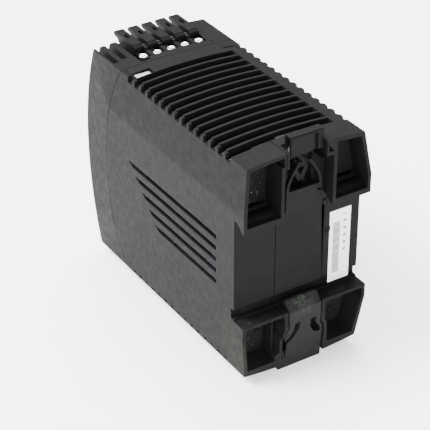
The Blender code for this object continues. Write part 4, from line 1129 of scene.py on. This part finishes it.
    def cut_slots(self, shell: bpy.types.Object) -> None:
        """Cut the cooling slots through top and bottom, and the scallops of the plain edge."""
        form, far = self.form, self.far
        x_low, x_high = form.top_right + 4.8 * MM, self.split + far
        for name, low, high in (("top", form.crown_high - 6.5 * MM, form.crown_high + far),
                                ("bottom", form.crown_low - far, form.crown_low + 6.5 * MM)):
            cut(shell, [self.through(f"slot_{name}_{index}", (x_low, x_high), (y, y + self.slot_width),
                                     (low, high))
                        for index, y in enumerate(self.rows(self.first_slot, self.slots))])
        edge = form.top_right
        for name, low, high in (("top", form.edge_high - self.notch_height, form.crown_high + far),
                                ("bottom", form.crown_low - far, form.edge_low + self.notch_height)):
            cut(shell, [rod(f"scallop_{name}_{index}",
                            (edge - 0.25 * MM, y + self.notch_width / 2, (low + high) / 2),
                            self.notch_width / 2, Axis.Z, high - low, steps=20)
                        for index, y in enumerate(self.rows(self.first_notch, self.notches))])

    def cut_body_details(self, shell: bpy.types.Object) -> None:
        """Cut the beds of tile and label and the small grooves, and add the pads beside the label."""
        form, far = self.form, self.far
        high = form.crown_high + far
        low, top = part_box("marking_tile")
        margin = 0.45 * MM
        cut(shell, [self.through("tile_bed", (low.x - margin, top.x + margin),
                                 (low.y - margin, top.y + margin), (low.z - 0.3 * MM, high))])
        depth = 0.5 * MM
        grooves = []
        for index, ((x1, y1), (x2, y2)) in enumerate((((-16.9, -17.8), (-12.8, -18.3)),
                                                      ((-17.3, -17.6), (-16.95, -15.6)))):
            ground = form.crown_height(x1 * MM) - depth
            grooves.append(self.through(f"small_groove_{index}", (min(x1, x2) * MM, max(x1, x2) * MM),
                                        (min(y1, y2) * MM, max(y1, y2) * MM), (ground, high)))
        boolean(shell, grooves[0])
        boolean(shell, grooves[1])
        bed_low, bed_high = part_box("rating_label")
        cut(shell, [self.through("label_bed", (bed_low.x - 0.3 * MM, bed_high.x + 0.3 * MM),
                                 (bed_low.y - 0.05 * MM, form.back),
                                 (bed_low.z - 0.3 * MM, bed_high.z + 0.3 * MM))])
        pad_y = form.rail_wall + 0.22 * MM
        pad = self.through("label_pad", (form.right + 0.3 * MM, -9.4 * MM),
                           (form.rail_wall - 0.5 * MM, pad_y), (self.ledge + 4.1 * MM, self.hook - 2.9 * MM))
        boolean(shell, pad, Operation.ADD)
        cut(shell, [self.through("label_room", (bed_low.x - 0.15 * MM, bed_high.x + 0.15 * MM),
                                 (bed_low.y - 0.03 * MM, form.back),
                                 (bed_low.z - 0.15 * MM, bed_high.z + 0.15 * MM))])
        corner = rod("pad_corner", (-9.4 * MM, form.rail_wall + 0.05 * MM, self.hook - 4.0 * MM), 0.9 * MM,
                     Axis.Y, 0.6 * MM, steps=20)
        boolean(shell, corner, Operation.ADD)
        remnant = [(form.rail_wall - 0.3 * MM, 41.0 * MM), (form.rail_wall + 0.9 * MM, 41.6 * MM),
                   (form.rail_wall + 0.6 * MM, 42.3 * MM), (form.rail_wall + 0.3 * MM, 43.2 * MM),
                   (form.rail_wall - 0.3 * MM, 43.0 * MM)]
        boolean(shell, plate("pad_remnant", remnant, Axis.X, -10.6 * MM, -10.1 * MM), Operation.ADD)
        boolean(shell, self.through("ledge_pad", (-15.9 * MM, -9.0 * MM), (45.7 * MM, form.back - 0.3 * MM),
                                    (self.ledge - 0.4 * MM, self.ledge + 0.2 * MM)), Operation.ADD)

    def cut_notches(self, side: bpy.types.Object) -> None:
        """Cut the notches in the side cover's upper edge and the short ticks above its lower edge."""
        form, far = self.form, self.far
        rows = self.rows(self.first_notch, self.notches)
        across = (self.split - far, form.left + far)
        cut(side, [self.through(f"notch_{index}", across, (y, y + self.notch_width),
                                (form.edge_high - self.notch_height, form.crown_high + far))
                   for index, y in enumerate(rows)])
        low = form.edge_low + self.tick_lift
        cut(side, [self.through(f"tick_{index}", across, (y, y + self.tick_width),
                                (low, low + self.tick_height))
                   for index, y in enumerate(rows)])

    def cut_louvres(self, side: bpy.types.Object) -> None:
        """Cut the slanted row of louvres, each with a pointed front end."""
        form = self.form
        height, tools = 1.45 * MM, []
        for row in range(5):
            middle = form.edge_high - 30.0 * MM - self.pitch * row
            low, high = middle - height / 2, middle + height / 2
            front, rear = form.corner + 22.2 * MM + 3.9 * MM * row, form.corner + 73.5 * MM
            outline = [(front, high), (rear - 0.3 * MM, high), (rear, high - 0.3 * MM),
                       (rear, low + 0.3 * MM), (rear - 0.3 * MM, low), (front + 1.6 * height, low)]
            tools.append(plate(f"louvre_{row}", outline, Axis.X, form.left - 4.0 * MM, form.left + self.far))
        cut(side, [self.through("louvre_room", (form.left - 4.0 * MM, form.left - self.louvre_wall),
                                (form.corner + 21.0 * MM, rear + 0.8 * MM),
                                (low - 1.0 * MM, form.edge_high - 28.0 * MM))])
        cut(side, tools)


@dataclass
class FrontCover:
    """Curved front cover with its lever wells, clamp windows, fins and front bores."""

    form: HousingForm
    wall: float = 1.8 * MM
    well_room: float = 0.25 * MM
    well_rear: float = -29.0 * MM
    block_top: float = 73.8 * MM
    lip: float = 1.7 * MM
    fin_room: float = 13.9 * MM
    fin_slots: tuple[tuple[float, float, float], ...] = (
        (19.35 * MM, 21.0 * MM, 12.1 * MM), (15.9 * MM, 17.7 * MM, 11.6 * MM),
        (12.7 * MM, 13.8 * MM, 16.6 * MM))
    far: float = 6.0 * MM

    def build(self) -> bpy.types.Object:
        """Build the cover.

        Returns:
            The front cover.
        """
        form = self.form
        cover = form.solid("front_cover_shell")
        boolean(cover, form.seam_drum("rear_room", 0.03 * MM))
        boolean(cover, form.solid("hollow", self.wall, self.wall))
        self.add_fin_block(cover)
        for upside_down in (False, True):
            self.cut_wells(cover, upside_down)
        self.cut_fins(cover)
        self.cut_front(cover)
        self.cut_marks(cover)
        return soften(cover, 0.14 * MM, creases=form.is_crease)

    def flip(self, span: tuple[float, float], upside_down: bool) -> tuple[float, float]:
        """Return a span of heights, mirrored for the lower row."""
        if not upside_down:
            return span
        return 2 * self.form.middle - span[1], 2 * self.form.middle - span[0]

    def box(self, name: str, x: tuple[float, float], y: tuple[float, float], z: tuple[float, float],
            upside_down: bool) -> bpy.types.Object:
        """Return a box given by its spans, at the top or mirrored to the bottom.

        Args:
            name: Name of the box.
            x: Span across.
            y: Span from front to back.
            z: Span of heights in the upper row.
            upside_down: Whether it belongs to the lower row.

        Returns:
            The box.
        """
        low, high = self.flip(z, upside_down)
        return block(name, (x[0], y[0], low), (x[1], y[1], high))

    def cut_wells(self, cover: bpy.types.Object, upside_down: bool) -> None:
        """Cut the room of one lever row, its front lip and the windows of its clamps."""
        form = self.form
        row = "input" if upside_down else "output"
        low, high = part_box(f"{row}_terminal_block")
        span = (low.x - self.well_room, high.x + self.well_room)
        inner = form.corner + self.wall
        boolean(cover, self.box("well", span, (inner, self.well_rear), (self.block_top - 3.6 * MM,
                                form.crown_high + self.far), upside_down))
        boolean(cover, self.box("lip", span, (form.apex, inner + self.far),
                                (form.crown_high - self.lip, form.crown_high + self.far), upside_down))
        windows = []
        for index, middle in enumerate(clamp_places(row)):
            windows.append(self.box(f"window_{index}", (middle.x - 2.1 * MM, middle.x + 1.75 * MM),
                                    (self.well_rear - 0.5 * MM, middle.y + 1.85 * MM),
                                    (self.block_top, form.crown_high + self.far), upside_down))
        cut(cover, windows)

    def add_fin_block(self, cover: bpy.types.Object) -> None:
        """Add the solid corner that the fins are cut from."""
        form = self.form
        corner = form.solid("corner", 0.5 * MM, 0.5 * MM)
        boolean(corner, block("corner_room", (self.fin_room, form.apex, form.edge_high - 7.0 * MM),
                              (form.left, form.corner + 15.6 * MM, form.crown_high + MM)), Operation.KEEP)
        boolean(cover, corner, Operation.ADD)

    def cut_fins(self, cover: bpy.types.Object) -> None:
        """Slot the corner into fins and cut the deep slot beside the first lever."""
        form = self.form
        top, floor = form.crown_high + self.far, form.edge_high - 4.2 * MM
        tools = [block(f"fin_slot_{index}", (low, form.apex, floor), (high, form.corner + length, top))
                 for index, (low, high, length) in enumerate(self.fin_slots)]
        cut(cover, tools)
        boolean(cover, block("notch", (10.4 * MM, -24.3 * MM, 75.0 * MM), (13.3 * MM, -23.5 * MM, top)))

    def cut_front(self, cover: bpy.types.Object) -> None:
        """Bore the front for the lamp and the adjuster, each with a shallow countersink."""
        form = self.form
        low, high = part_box("status_lamp")
        height = (low.z + high.z) / 2
        face = form.front_y(height)
        for node, margin in (("status_lamp", 0.15 * MM), ("voltage_adjuster", 0.3 * MM)):
            low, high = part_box(node)
            middle = (low + high) / 2
            radius = (high.x - low.x) / 2 + margin
            boolean(cover, rod("bore", (middle.x, face, height), radius, Axis.Y, 20.0 * MM, steps=40))
            deselect()
            bpy.ops.mesh.primitive_cone_add(vertices=40, radius1=radius + 0.9 * MM, radius2=radius,
                                            depth=0.9 * MM, location=(middle.x, face + 0.2 * MM, height),
                                            rotation=(-math.pi / 2, 0.0, 0.0))
            boolean(cover, settle(bpy.context.object, "countersink"))

    def cut_marks(self, cover: bpy.types.Object) -> None:
        """Cut the small dimple beside the last clamp window."""
        form = self.form
        place = (-12.4 * MM, -24.2 * MM)
        cut(cover, [rod("dimple", (place[0], place[1], form.crown_height(place[0])), 0.45 * MM, Axis.Z,
                        0.5 * MM, steps=20)])


def clamp_places(row: str) -> list[Vector]:
    """Return the middle of each clamp node of a row."""
    names = sorted(name for name in frame["nodes"] if name.startswith(f"{row}_clamp_"))
    made = []
    for name in names:
        low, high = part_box(name)
        made.append((low + high) / 2)
    return made


# ------------------------------------------------------------------------- levers and clamps
@dataclass
class TerminalRow:
    """One row of lever terminals: levers, clamp heads, block and pin.

    Attributes:
        row: The row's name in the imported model.
        upside_down: Whether it is the lower row.
    """

    form: HousingForm
    palette: Palette
    row: str
    upside_down: bool
    overhang: float = 2.6 * MM
    belly: float = 3.5 * MM
    barrel: float = 1.5 * MM
    pivot_back: float = 9.4 * MM

    def build(self) -> list[bpy.types.Object]:
        """Build the row.

        Returns:
            The new pieces.
        """
        made = []
        levers = sorted(name for name in frame["nodes"] if name.startswith(f"{self.row}_lever_")
                        and not name.endswith("pin"))
        low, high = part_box(levers[0])
        width = high.x - low.x
        pattern = self.make_lever("lever_pattern", width)
        for name in levers:
            low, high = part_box(name)
            lever = shift(duplicate(pattern, f"{name}_moulding"), ((low.x + high.x) / 2, 0.0, 0.0))
            self.palette.dress(lever, "lever_black")
            place_piece(lever, name, "lever_black", name)
            made.append(lever)
        bpy.data.objects.remove(pattern, do_unlink=True)
        made.extend(self.make_clamps())
        made.append(self.make_block(levers, width))
        return made

    def make_block(self, levers: Sequence[str], width: float) -> bpy.types.Object:
        """Build the terminal block with its clamp bores and the low saddles of the pin.

        Args:
            levers: Nodes of the row's levers.
            width: Width of a lever.

        Returns:
            The block.
        """
        form, room = self.form, 0.3 * MM
        low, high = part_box(f"{self.row}_terminal_block")
        pivot = (form.corner + self.pivot_back, form.crown_high + 1.9 * MM - self.barrel)
        top, depth = form.crown_high - 3.1 * MM, high.z - low.z
        base = top - (depth - (pivot[1] + 0.35 * MM - top))
        block_piece = block(f"{self.row}_terminal_block_moulding",
                            (low.x, low.y, base), (high.x, high.y, top))
        places = sorted((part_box(name)[0].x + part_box(name)[1].x) / 2 for name in levers)
        for first, second in zip(places, places[1:]):
            start, end = first + width / 2 + room, second - width / 2 - room
            boolean(block_piece, block("saddle", (start, pivot[0] - self.barrel, top - MM),
                                       (end, pivot[0] + self.barrel, pivot[1] + 0.3 * MM)), Operation.ADD)
        middle = (low.x + high.x) / 2
        boolean(block_piece, rod("pin_groove", (middle, *pivot), 0.7 * MM, Axis.X, 2 * (high.x - low.x)))
        bores = []
        for place in clamp_places(self.row):
            bores.append(rod("clamp_bore", (place.x, place.y, top), 1.6 * MM, Axis.Z, 15.0 * MM))
        cut(block_piece, bores)
        if self.upside_down:
            self.turn_over(block_piece)
        soften(block_piece, 0.12 * MM)
        self.palette.dress(block_piece, "terminal_black")
        place_piece(block_piece, "chassis", "terminal_black", f"{self.row}_terminal_block")
        return block_piece

    def turn_over(self, piece: bpy.types.Object) -> None:
        """Mirror a piece made for the upper row to the lower one."""
        take(piece)
        bpy.ops.transform.mirror(constraint_axis=(False, False, True), center_override=(0.0, 0.0, 0.0))
        settle(piece, piece.name)
        shift(piece, (0.0, 0.0, 2 * self.form.middle))
        face_out(piece)

    def outline(self, top: float) -> list[tuple[float, float]]:
        """Return the lever seen from the side: thin tip, hollow throat, belly and round barrel."""
        tip = self.form.corner - self.overhang
        pivot = (self.form.corner + self.pivot_back, top - self.barrel)
        barrel = arc_points(pivot, self.barrel, -90.0, 30.0, 12)
        throat = arc_points((tip + 1.6 * MM, top - 2.9 * MM), 1.3 * MM, 100.0, 10.0, 6)
        return [(tip, top - 0.25 * MM), (tip + 0.1 * MM, top - 1.1 * MM), *throat,
                (tip + 4.4 * MM, top - self.belly), (tip + 7.6 * MM, top - self.belly),
                *barrel, (pivot[0] + 0.4 * MM, top - 0.3 * MM), (pivot[0] + 0.1 * MM, top),
                (tip + 0.3 * MM, top)]

    def make_lever(self, name: str, width: float) -> bpy.types.Object:
        """Build one lever at the middle of the frame.

        Args:
            name: Name of the new object.
            width: Its width.

        Returns:
            The lever.
        """
        top = self.form.crown_high + 1.9 * MM
        tip = self.form.corner - self.overhang
        lever = plate(name, self.outline(top), Axis.X, -width / 2, width / 2)
        slot = block("tool_slot", (-0.5 * MM, tip + 4.3 * MM, top - 1.6 * MM),
                     (0.5 * MM, tip + 6.9 * MM, top + MM))
        pivot = (0.0, self.form.corner + self.pivot_back, top - self.barrel)
        cut(lever, [slot, rod("pin_bore", pivot, 0.75 * MM, Axis.X, 2 * width, steps=24)])
        if self.upside_down:
            self.turn_over(lever)
        return soften(lever, 0.13 * MM)

    def make_clamps(self) -> list[bpy.types.Object]:
        """Build the bright clamp heads with their chamfered rims and shallow dish."""
        made = []
        names = sorted(name for name in frame["nodes"] if name.startswith(f"{self.row}_clamp_"))
        for name in names:
            low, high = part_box(name)
            middle = (low + high) / 2
            radius = (high.x - low.x) / 2
            face = low.z if self.upside_down else high.z
            away = -1.0 if self.upside_down else 1.0
            shank = rod("shank", middle, 0.68 * radius, Axis.Z, high.z - low.z - 0.4 * MM, steps=32)
            head = rod(f"{name}_head", (middle.x, middle.y, face - away * 0.35 * MM), radius, Axis.Z,
                       0.7 * MM, steps=40)
            boolean(head, shank, Operation.ADD)
            deselect()
            bpy.ops.mesh.primitive_uv_sphere_add(segments=40, ring_count=20, radius=4.2 * MM,
                                                 location=(middle.x, middle.y, face + away * 4.05 * MM))
            boolean(head, settle(bpy.context.object, "dish"))
            soften(head, 0.18 * MM, segments=3)
            self.palette.dress(head, "tinned_metal")
            place_piece(head, "chassis", "tinned_metal", name)
            made.append(head)
        return made


def face_out(piece: bpy.types.Object) -> None:
    """Turn a piece's faces outwards."""
    take(piece)
    bpy.ops.object.mode_set(mode="EDIT")
    bpy.ops.mesh.select_all(action="SELECT")
    bpy.ops.mesh.remove_doubles(threshold=0.001 * MM)
    bpy.ops.mesh.normals_make_consistent(inside=False)
    bpy.ops.object.mode_set(mode="OBJECT")


def place_piece(piece: bpy.types.Object, body: str, slot: str, *nodes: str) -> None:
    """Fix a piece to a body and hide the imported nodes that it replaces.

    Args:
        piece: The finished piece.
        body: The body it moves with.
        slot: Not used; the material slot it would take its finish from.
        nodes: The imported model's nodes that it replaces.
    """
    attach(piece, body)
    if nodes:
        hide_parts(*nodes)
    log.info("%s: %d faces, rides on %s", piece.name, len(piece.data.polygons), body)


# ------------------------------------------------------------------------- rail release
@dataclass
class RailRelease:
    """Button with its wedge, sprung latch and the return spring above the rail."""

    form: HousingForm
    palette: Palette
    ledge: float = 21.2 * MM

    def build(self) -> list[bpy.types.Object]:
        """Build the three pieces.

        Returns:
            Button, latch and spring.
        """
        button, latch, spring = self.make_button(), self.make_latch(), self.make_spring()
        for piece, body, finish, node in (
                (button, "rail_release", "lever_black", "release_button"),
                (latch, "rail_release", "latch_black", "rail_latch"),
                (spring, "chassis", "lever_black", "release_spring")):
            self.palette.dress(piece, finish)
            place_piece(piece, body, "lever_black", node)
        return [button, latch, spring]

    def make_button(self) -> bpy.types.Object:
        """Build the push button: a bent cap on a stem that ends in a pierced wedge."""
        low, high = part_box("release_button")
        right, left = -5.6 * MM, 5.8 * MM
        rear, front, skirt = high.y, 43.1 * MM, 74.0 * MM
        cap = [(front, high.z - 0.5 * MM), (front, skirt + 2.0 * MM), (rear - 1.1 * MM, skirt + 2.0 * MM),
               (rear - 1.1 * MM, skirt), (rear, skirt), (rear, high.z - 0.35 * MM),
               (rear - 0.35 * MM, high.z), (front + 0.5 * MM, high.z)]
        button = plate("release_button_moulding", cap, Axis.X, right, left)
        hollow = block("side_hollow", (left - 1.6 * MM, front + 0.7 * MM, skirt - MM),
                       (left + MM, rear - 0.9 * MM, high.z - 0.8 * MM))
        groove = block("rear_groove", (-3.6 * MM, rear - 0.8 * MM, skirt - MM),
                       (-2.2 * MM, rear + MM, high.z - 0.9 * MM))
        cut(button, [hollow, groove])
        top, point = 69.4 * MM, 63.1 * MM
        waist = top - 2.1 * MM
        wedge = [(-2.2 * MM, skirt + 2.6 * MM), (-2.2 * MM, top), (-2.8 * MM, waist), (-0.9 * MM, point),
                 (0.9 * MM, point), (2.8 * MM, waist), (2.2 * MM, top), (0.7 * MM, top + 0.6 * MM),
                 (0.7 * MM, top + 1.5 * MM), (2.2 * MM, top + 2.4 * MM), (2.2 * MM, skirt + 2.6 * MM)]
        stem = plate("stem", wedge, Axis.Y, low.y, 43.4 * MM)
        hole = [(-1.4 * MM, waist + 0.3 * MM), (1.4 * MM, waist + 0.3 * MM), (0.0, waist - 2.2 * MM)]
        boolean(stem, plate("wedge_hole", hole, Axis.Y, low.y - MM, 44.5 * MM))
        boolean(button, stem, Operation.ADD)
        return soften(button, 0.16 * MM)

    def make_latch(self) -> bpy.types.Object:
        """Build the latch: a ramped nose, two barbed arms beside their slots, and the pull foot."""
        low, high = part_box("rail_latch")
        front, back = 44.3 * MM, high.y
        sides = [(5.7, high.z / MM), (5.7, 19.0), (5.4, 15.0), (7.1, 11.9), (7.2, 10.7), (6.2, 10.0),
                 (6.2, 3.9), (8.9, 3.7), (8.9, low.z / MM)]
        others = [(-6.8, low.z / MM), (-6.8, 7.3), (-7.0, 8.6), (-6.8, 11.3), (-6.0, 13.2),
                  (-6.0, high.z / MM)]
        latch = plate("rail_latch_moulding", [(x * MM, z * MM) for x, z in sides + others], Axis.Y,
                      front, back)
        nose = [(front, high.z + MM), (front, high.z), (front + 1.0 * MM, high.z),
                (back, self.ledge - 0.6 * MM), (back + MM, self.ledge - 0.6 * MM), (back + MM, high.z + MM)]
        boolean(latch, plate("nose_ramp", nose, Axis.X, -self.form.width, self.form.width))
        foot = [(back, 15.0 * MM), (back - 0.9 * MM, low.z), (back - 0.9 * MM, low.z - MM),
                (back + MM, low.z - MM), (back + MM, 15.0 * MM)]
        boolean(latch, plate("foot_face", foot, Axis.X, -self.form.width, self.form.width))
        slots = ([(1.6, 16.0), (3.3, 15.9), (3.9, 13.4), (5.3, 11.4), (6.6, 10.5), (7.6, 9.9), (7.6, 9.2),
                  (6.1, 9.4), (3.9, 10.7), (1.9, 13.6)],
                 [(-2.3, 15.6), (-2.3, 12.9), (-3.7, 10.3), (-6.0, 9.6), (-6.1, 11.2), (-4.2, 13.6),
                  (-4.3, 15.8)])
        for index, outline in enumerate(slots):
            tool = plate(f"arm_slot_{index}", [(x * MM, z * MM) for x, z in outline], Axis.Y,
                         front - MM, back + MM)
            boolean(latch, tool)
        shallow = 0.25 * MM
        cut(latch, [block(f"foot_rule_{index}", (x * MM, back - shallow - 0.5 * MM, 5.0 * MM),
                          ((x + 0.45) * MM, back + MM, 5.35 * MM))
                    for index, x in enumerate((-6.3, -5.5, -4.7))])
        tongue = block("tongue", (-2.5 * MM, low.y, 11.0 * MM), (2.5 * MM, front + 0.4 * MM, 15.0 * MM))
        boolean(latch, tongue, Operation.ADD)
        return soften(latch, 0.15 * MM)

    def make_spring(self) -> bpy.types.Object:
        """Build the plate spring with its two bowed arms and notched ends."""
        low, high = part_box("release_spring")
        base, top, half, arm = 61.9 * MM, high.z, 6.3 * MM, 0.95 * MM
        steps = 14
        outer, inner = [], []
        for step in range(steps + 1):
            share = step / steps
            swing = (1.0 - math.cos(share * math.pi / 2)) * 4.3 * MM
            height = base + (top - base) * share
            outer.append((half - swing, height))
            inner.append((half - arm - 0.15 * MM * share - swing, height))
        tip = outer[-1][0]
        end = [(tip - 0.35 * MM, top), (tip - 0.35 * MM, top - 0.45 * MM), (tip - 0.8 * MM, top - 0.45 * MM),
               (tip - 0.8 * MM, top)]
        right_arm = outer + end + inner[::-1]
        left_arm = [(-x, z) for x, z in reversed(right_arm)]
        outline = [(-half, low.z), (half, low.z)] + right_arm + left_arm
        spring = plate("release_spring_moulding", outline, Axis.Y, low.y, high.y)
        boolean(spring, block("spring_slit", (-half - MM, low.y - MM, 59.3 * MM),
                              (-4.9 * MM, high.y + MM, 60.0 * MM)))
        return soften(spring, 0.12 * MM)


# ------------------------------------------------------------------------- marks and front panel
@dataclass
class Marks:
    """Blank rating label, marking tile, lamp and adjuster."""

    form: HousingForm
    palette: Palette

    def build(self) -> list[bpy.types.Object]:
        """Build the marks and the front's two small pieces.

        Returns:
            The new pieces.
        """
        pieces = [(self.make_label(), "chassis", "label_white", "rating_label"),
                  (self.make_tile(), "chassis", "tile_grey", "marking_tile"),
                  (self.make_lamp(), "chassis", "lamp_green", "status_lamp"),
                  (self.make_adjuster(), "adjuster", "adjuster_white", "voltage_adjuster")]
        for piece, body, finish, node in pieces:
            self.palette.dress(piece, finish)
            place_piece(piece, body, finish, node)
        return [piece for piece, *_ in pieces]

    def make_label(self) -> bpy.types.Object:
        """Build the foil label, with a torn edge beside its block of bars."""
        low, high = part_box("rating_label")
        label = block("rating_label_foil", (low.x, low.y, low.z), high)
        bite = [(high.x + MM, low.z + 18.6 * MM), (high.x - 0.35 * MM, low.z + 19.0 * MM),
                (high.x - 0.2 * MM, low.z + 19.9 * MM), (high.x - 0.5 * MM, low.z + 20.4 * MM),
                (high.x + MM, low.z + 20.7 * MM)]
        boolean(label, plate("torn_bite", bite, Axis.Y, low.y - MM, high.y + MM))
        return soften(label, 0.03 * MM)

    def make_tile(self) -> bpy.types.Object:
        """Build the pale marking tile with a raised middle."""
        low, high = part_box("marking_tile")
        tile = block("marking_tile_moulding", low, (high.x, high.y, high.z - 0.12 * MM))
        rim = 0.3 * MM
        boolean(tile, block("tile_face", (low.x + rim, low.y + rim, low.z + rim),
                            (high.x - rim, high.y - rim, high.z)), Operation.ADD)
        return soften(tile, 0.06 * MM)

    def make_lamp(self) -> bpy.types.Object:
        """Build the lamp with its domed end."""
        low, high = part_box("status_lamp")
        middle, radius = (low + high) / 2, (high.x - low.x) / 2
        lamp = rod("status_lamp_lens", middle, radius, Axis.Y, high.y - low.y, steps=40)
        return soften(lamp, 0.45 * MM, segments=5)

    def make_adjuster(self) -> bpy.types.Object:
        """Build the slotted rotor of the voltage adjuster."""
        low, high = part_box("voltage_adjuster")
        middle, radius = (low + high) / 2, (high.x - low.x) / 2
        rotor = rod("voltage_adjuster_rotor", middle, radius, Axis.Y, high.y - low.y, steps=40)
        slot = block("driver_slot", (middle.x - 2 * radius, low.y - MM, middle.z - 0.35 * MM),
                     (middle.x + 2 * radius, low.y + 0.8 * MM, middle.z + 0.35 * MM))
        boolean(rotor, slot)
        return soften(rotor, 0.12 * MM)


@dataclass
class Converter:
    """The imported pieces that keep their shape: electronics, lever pins and link."""

    palette: Palette
    finishes: dict[str, tuple[str, ...]] = field(default_factory=lambda: {
        "terminal_black": ("switching_transistor", "output_rectifier"),
        "steel": ("output_lever_pin", "input_lever_pin"),
        "lever_black": ("release_link",),
        "board_green": ("front_board", "main_board"),
        "adjuster_blue": ("adjuster_body",),
        "ferrite": ("transformer_core",),
        "winding_yellow": ("transformer_winding",),
        "capacitor_sleeve": ("bulk_capacitor", "output_capacitor_1", "output_capacitor_2"),
        "film_yellow": ("interference_capacitor",),
        "copper": ("line_choke",),
        "ceramic": ("fuse",),
        "aluminium": ("primary_heatsink", "output_heatsink"),
    })

    def dress(self) -> None:
        """Give each of them its finish."""
        for finish, nodes in self.finishes.items():
            for name in nodes:
                node = frame["nodes"][name]
                if not node.data.materials:
                    node.data.materials.append(None)
                for index in range(len(node.material_slots)):
                    node.material_slots[index].material = self.palette.get(finish)
                log.info("%s keeps its shape, finish %s", name, finish)


# ------------------------------------------------------------------------- studio
@dataclass
class Studio:
    """Pale floor, soft lights and the camera."""

    floor_size: float = 6.0
    floor_glow: float = 0.7
    azimuth: float = 147.6
    elevation: float = 32.45
    distance: float = 0.524147
    aim: tuple[float, float, float] = (0.0, 3.9 * MM, 39.4 * MM)
    slide_right: float = -3.553 * MM
    slide_up: float = -7.879 * MM
    lens: float = 139.7

    def build(self) -> None:
        """Build floor, lights and camera."""
        self.make_floor()
        self.make_world()
        self.make_lights()
        self.make_camera()

    def make_floor(self) -> None:
        """Build the floor as one wide sheet just under the object."""
        deselect()
        bpy.ops.mesh.primitive_plane_add(size=self.floor_size, location=(0.0, 0.0, 0.0))
        floor = settle(bpy.context.object, "studio_floor")
        graph = NodeGraph("studio_floor")
        tone = graph.ramp(graph.noise(6.0, 3.0), 0.3, (0.9, 0.9, 0.895), 0.7, (0.93, 0.93, 0.925))
        graph.link(tone, graph.shader.inputs["Base Color"])
        graph.shader.inputs["Roughness"].default_value = 0.8
        graph.shader.inputs["Emission Color"].default_value = (1.0, 1.0, 1.0, 1.0)
        graph.shader.inputs["Emission Strength"].default_value = self.floor_glow
        floor.data.materials.append(graph.material)

    def make_world(self) -> None:
        """Light the scene evenly from all sides."""
        world = bpy.data.worlds.new("studio")
        bpy.context.scene.world = world
        world.use_nodes = True
        background = world.node_tree.nodes["Background"]
        background.inputs["Color"].default_value = (0.97, 0.985, 1.0, 1.0)
        background.inputs["Strength"].default_value = 1.0

    def make_lights(self) -> None:
        """Hang the soft lights."""
        lights = (("key", (1.1, -0.5, 1.5), 1.1, 150.0), ("fill", (0.7, 1.6, 0.8), 1.2, 45.0),
                  ("top", (-0.5, -0.9, 1.9), 1.6, 115.0))
        for name, place, size, power in lights:
            deselect()
            bpy.ops.object.light_add(type="AREA", location=place)
            lamp = bpy.context.object
            lamp.name = name
            lamp.data.shape = "DISK"
            lamp.data.size = size
            lamp.data.energy = power
            away = Vector(place) - Vector(self.aim)
            lamp.rotation_euler = away.to_track_quat("Z", "Y").to_euler()

    def make_camera(self) -> None:
        """Set the camera at the viewing angle."""
        turn, rise = math.radians(self.azimuth), math.radians(self.elevation)
        back = Vector((math.sin(turn) * math.cos(rise), -math.cos(turn) * math.cos(rise), math.sin(rise)))
        right = (-back).cross(Vector((0.0, 0.0, 1.0))).normalized()
        up = right.cross(-back)
        deselect()
        bpy.ops.object.camera_add()
        camera = bpy.context.object
        camera.name = "camera"
        camera.location = (Vector(self.aim) + back * self.distance + right * self.slide_right
                           + up * self.slide_up)
        camera.rotation_euler = back.to_track_quat("Z", "Y").to_euler()
        camera.data.lens = self.lens
        camera.data.sensor_width = 36.0
        camera.data.clip_start = 0.01
        bpy.context.scene.camera = camera


def main() -> None:
    """Build every piece in order."""
    logging.basicConfig(level=logging.INFO, format="%(message)s")
    palette = Palette()
    form = HousingForm()
    Studio().build()
    body, side = RearShells(form).build()
    cover = FrontCover(form).build()
    for piece, finish, node in ((body, "housing_black", "housing_body"),
                                (side, "housing_black", "side_cover"),
                                (cover, "cover_black", "front_cover")):
        palette.dress(piece, finish)
        place_piece(piece, "chassis", "housing_black", node)
    TerminalRow(form, palette, "output", False).build()
    TerminalRow(form, palette, "input", True).build()
    RailRelease(form, palette).build()
    Marks(form, palette).build()
    Converter(palette).dress()


if __name__ == "__main__":
    main()
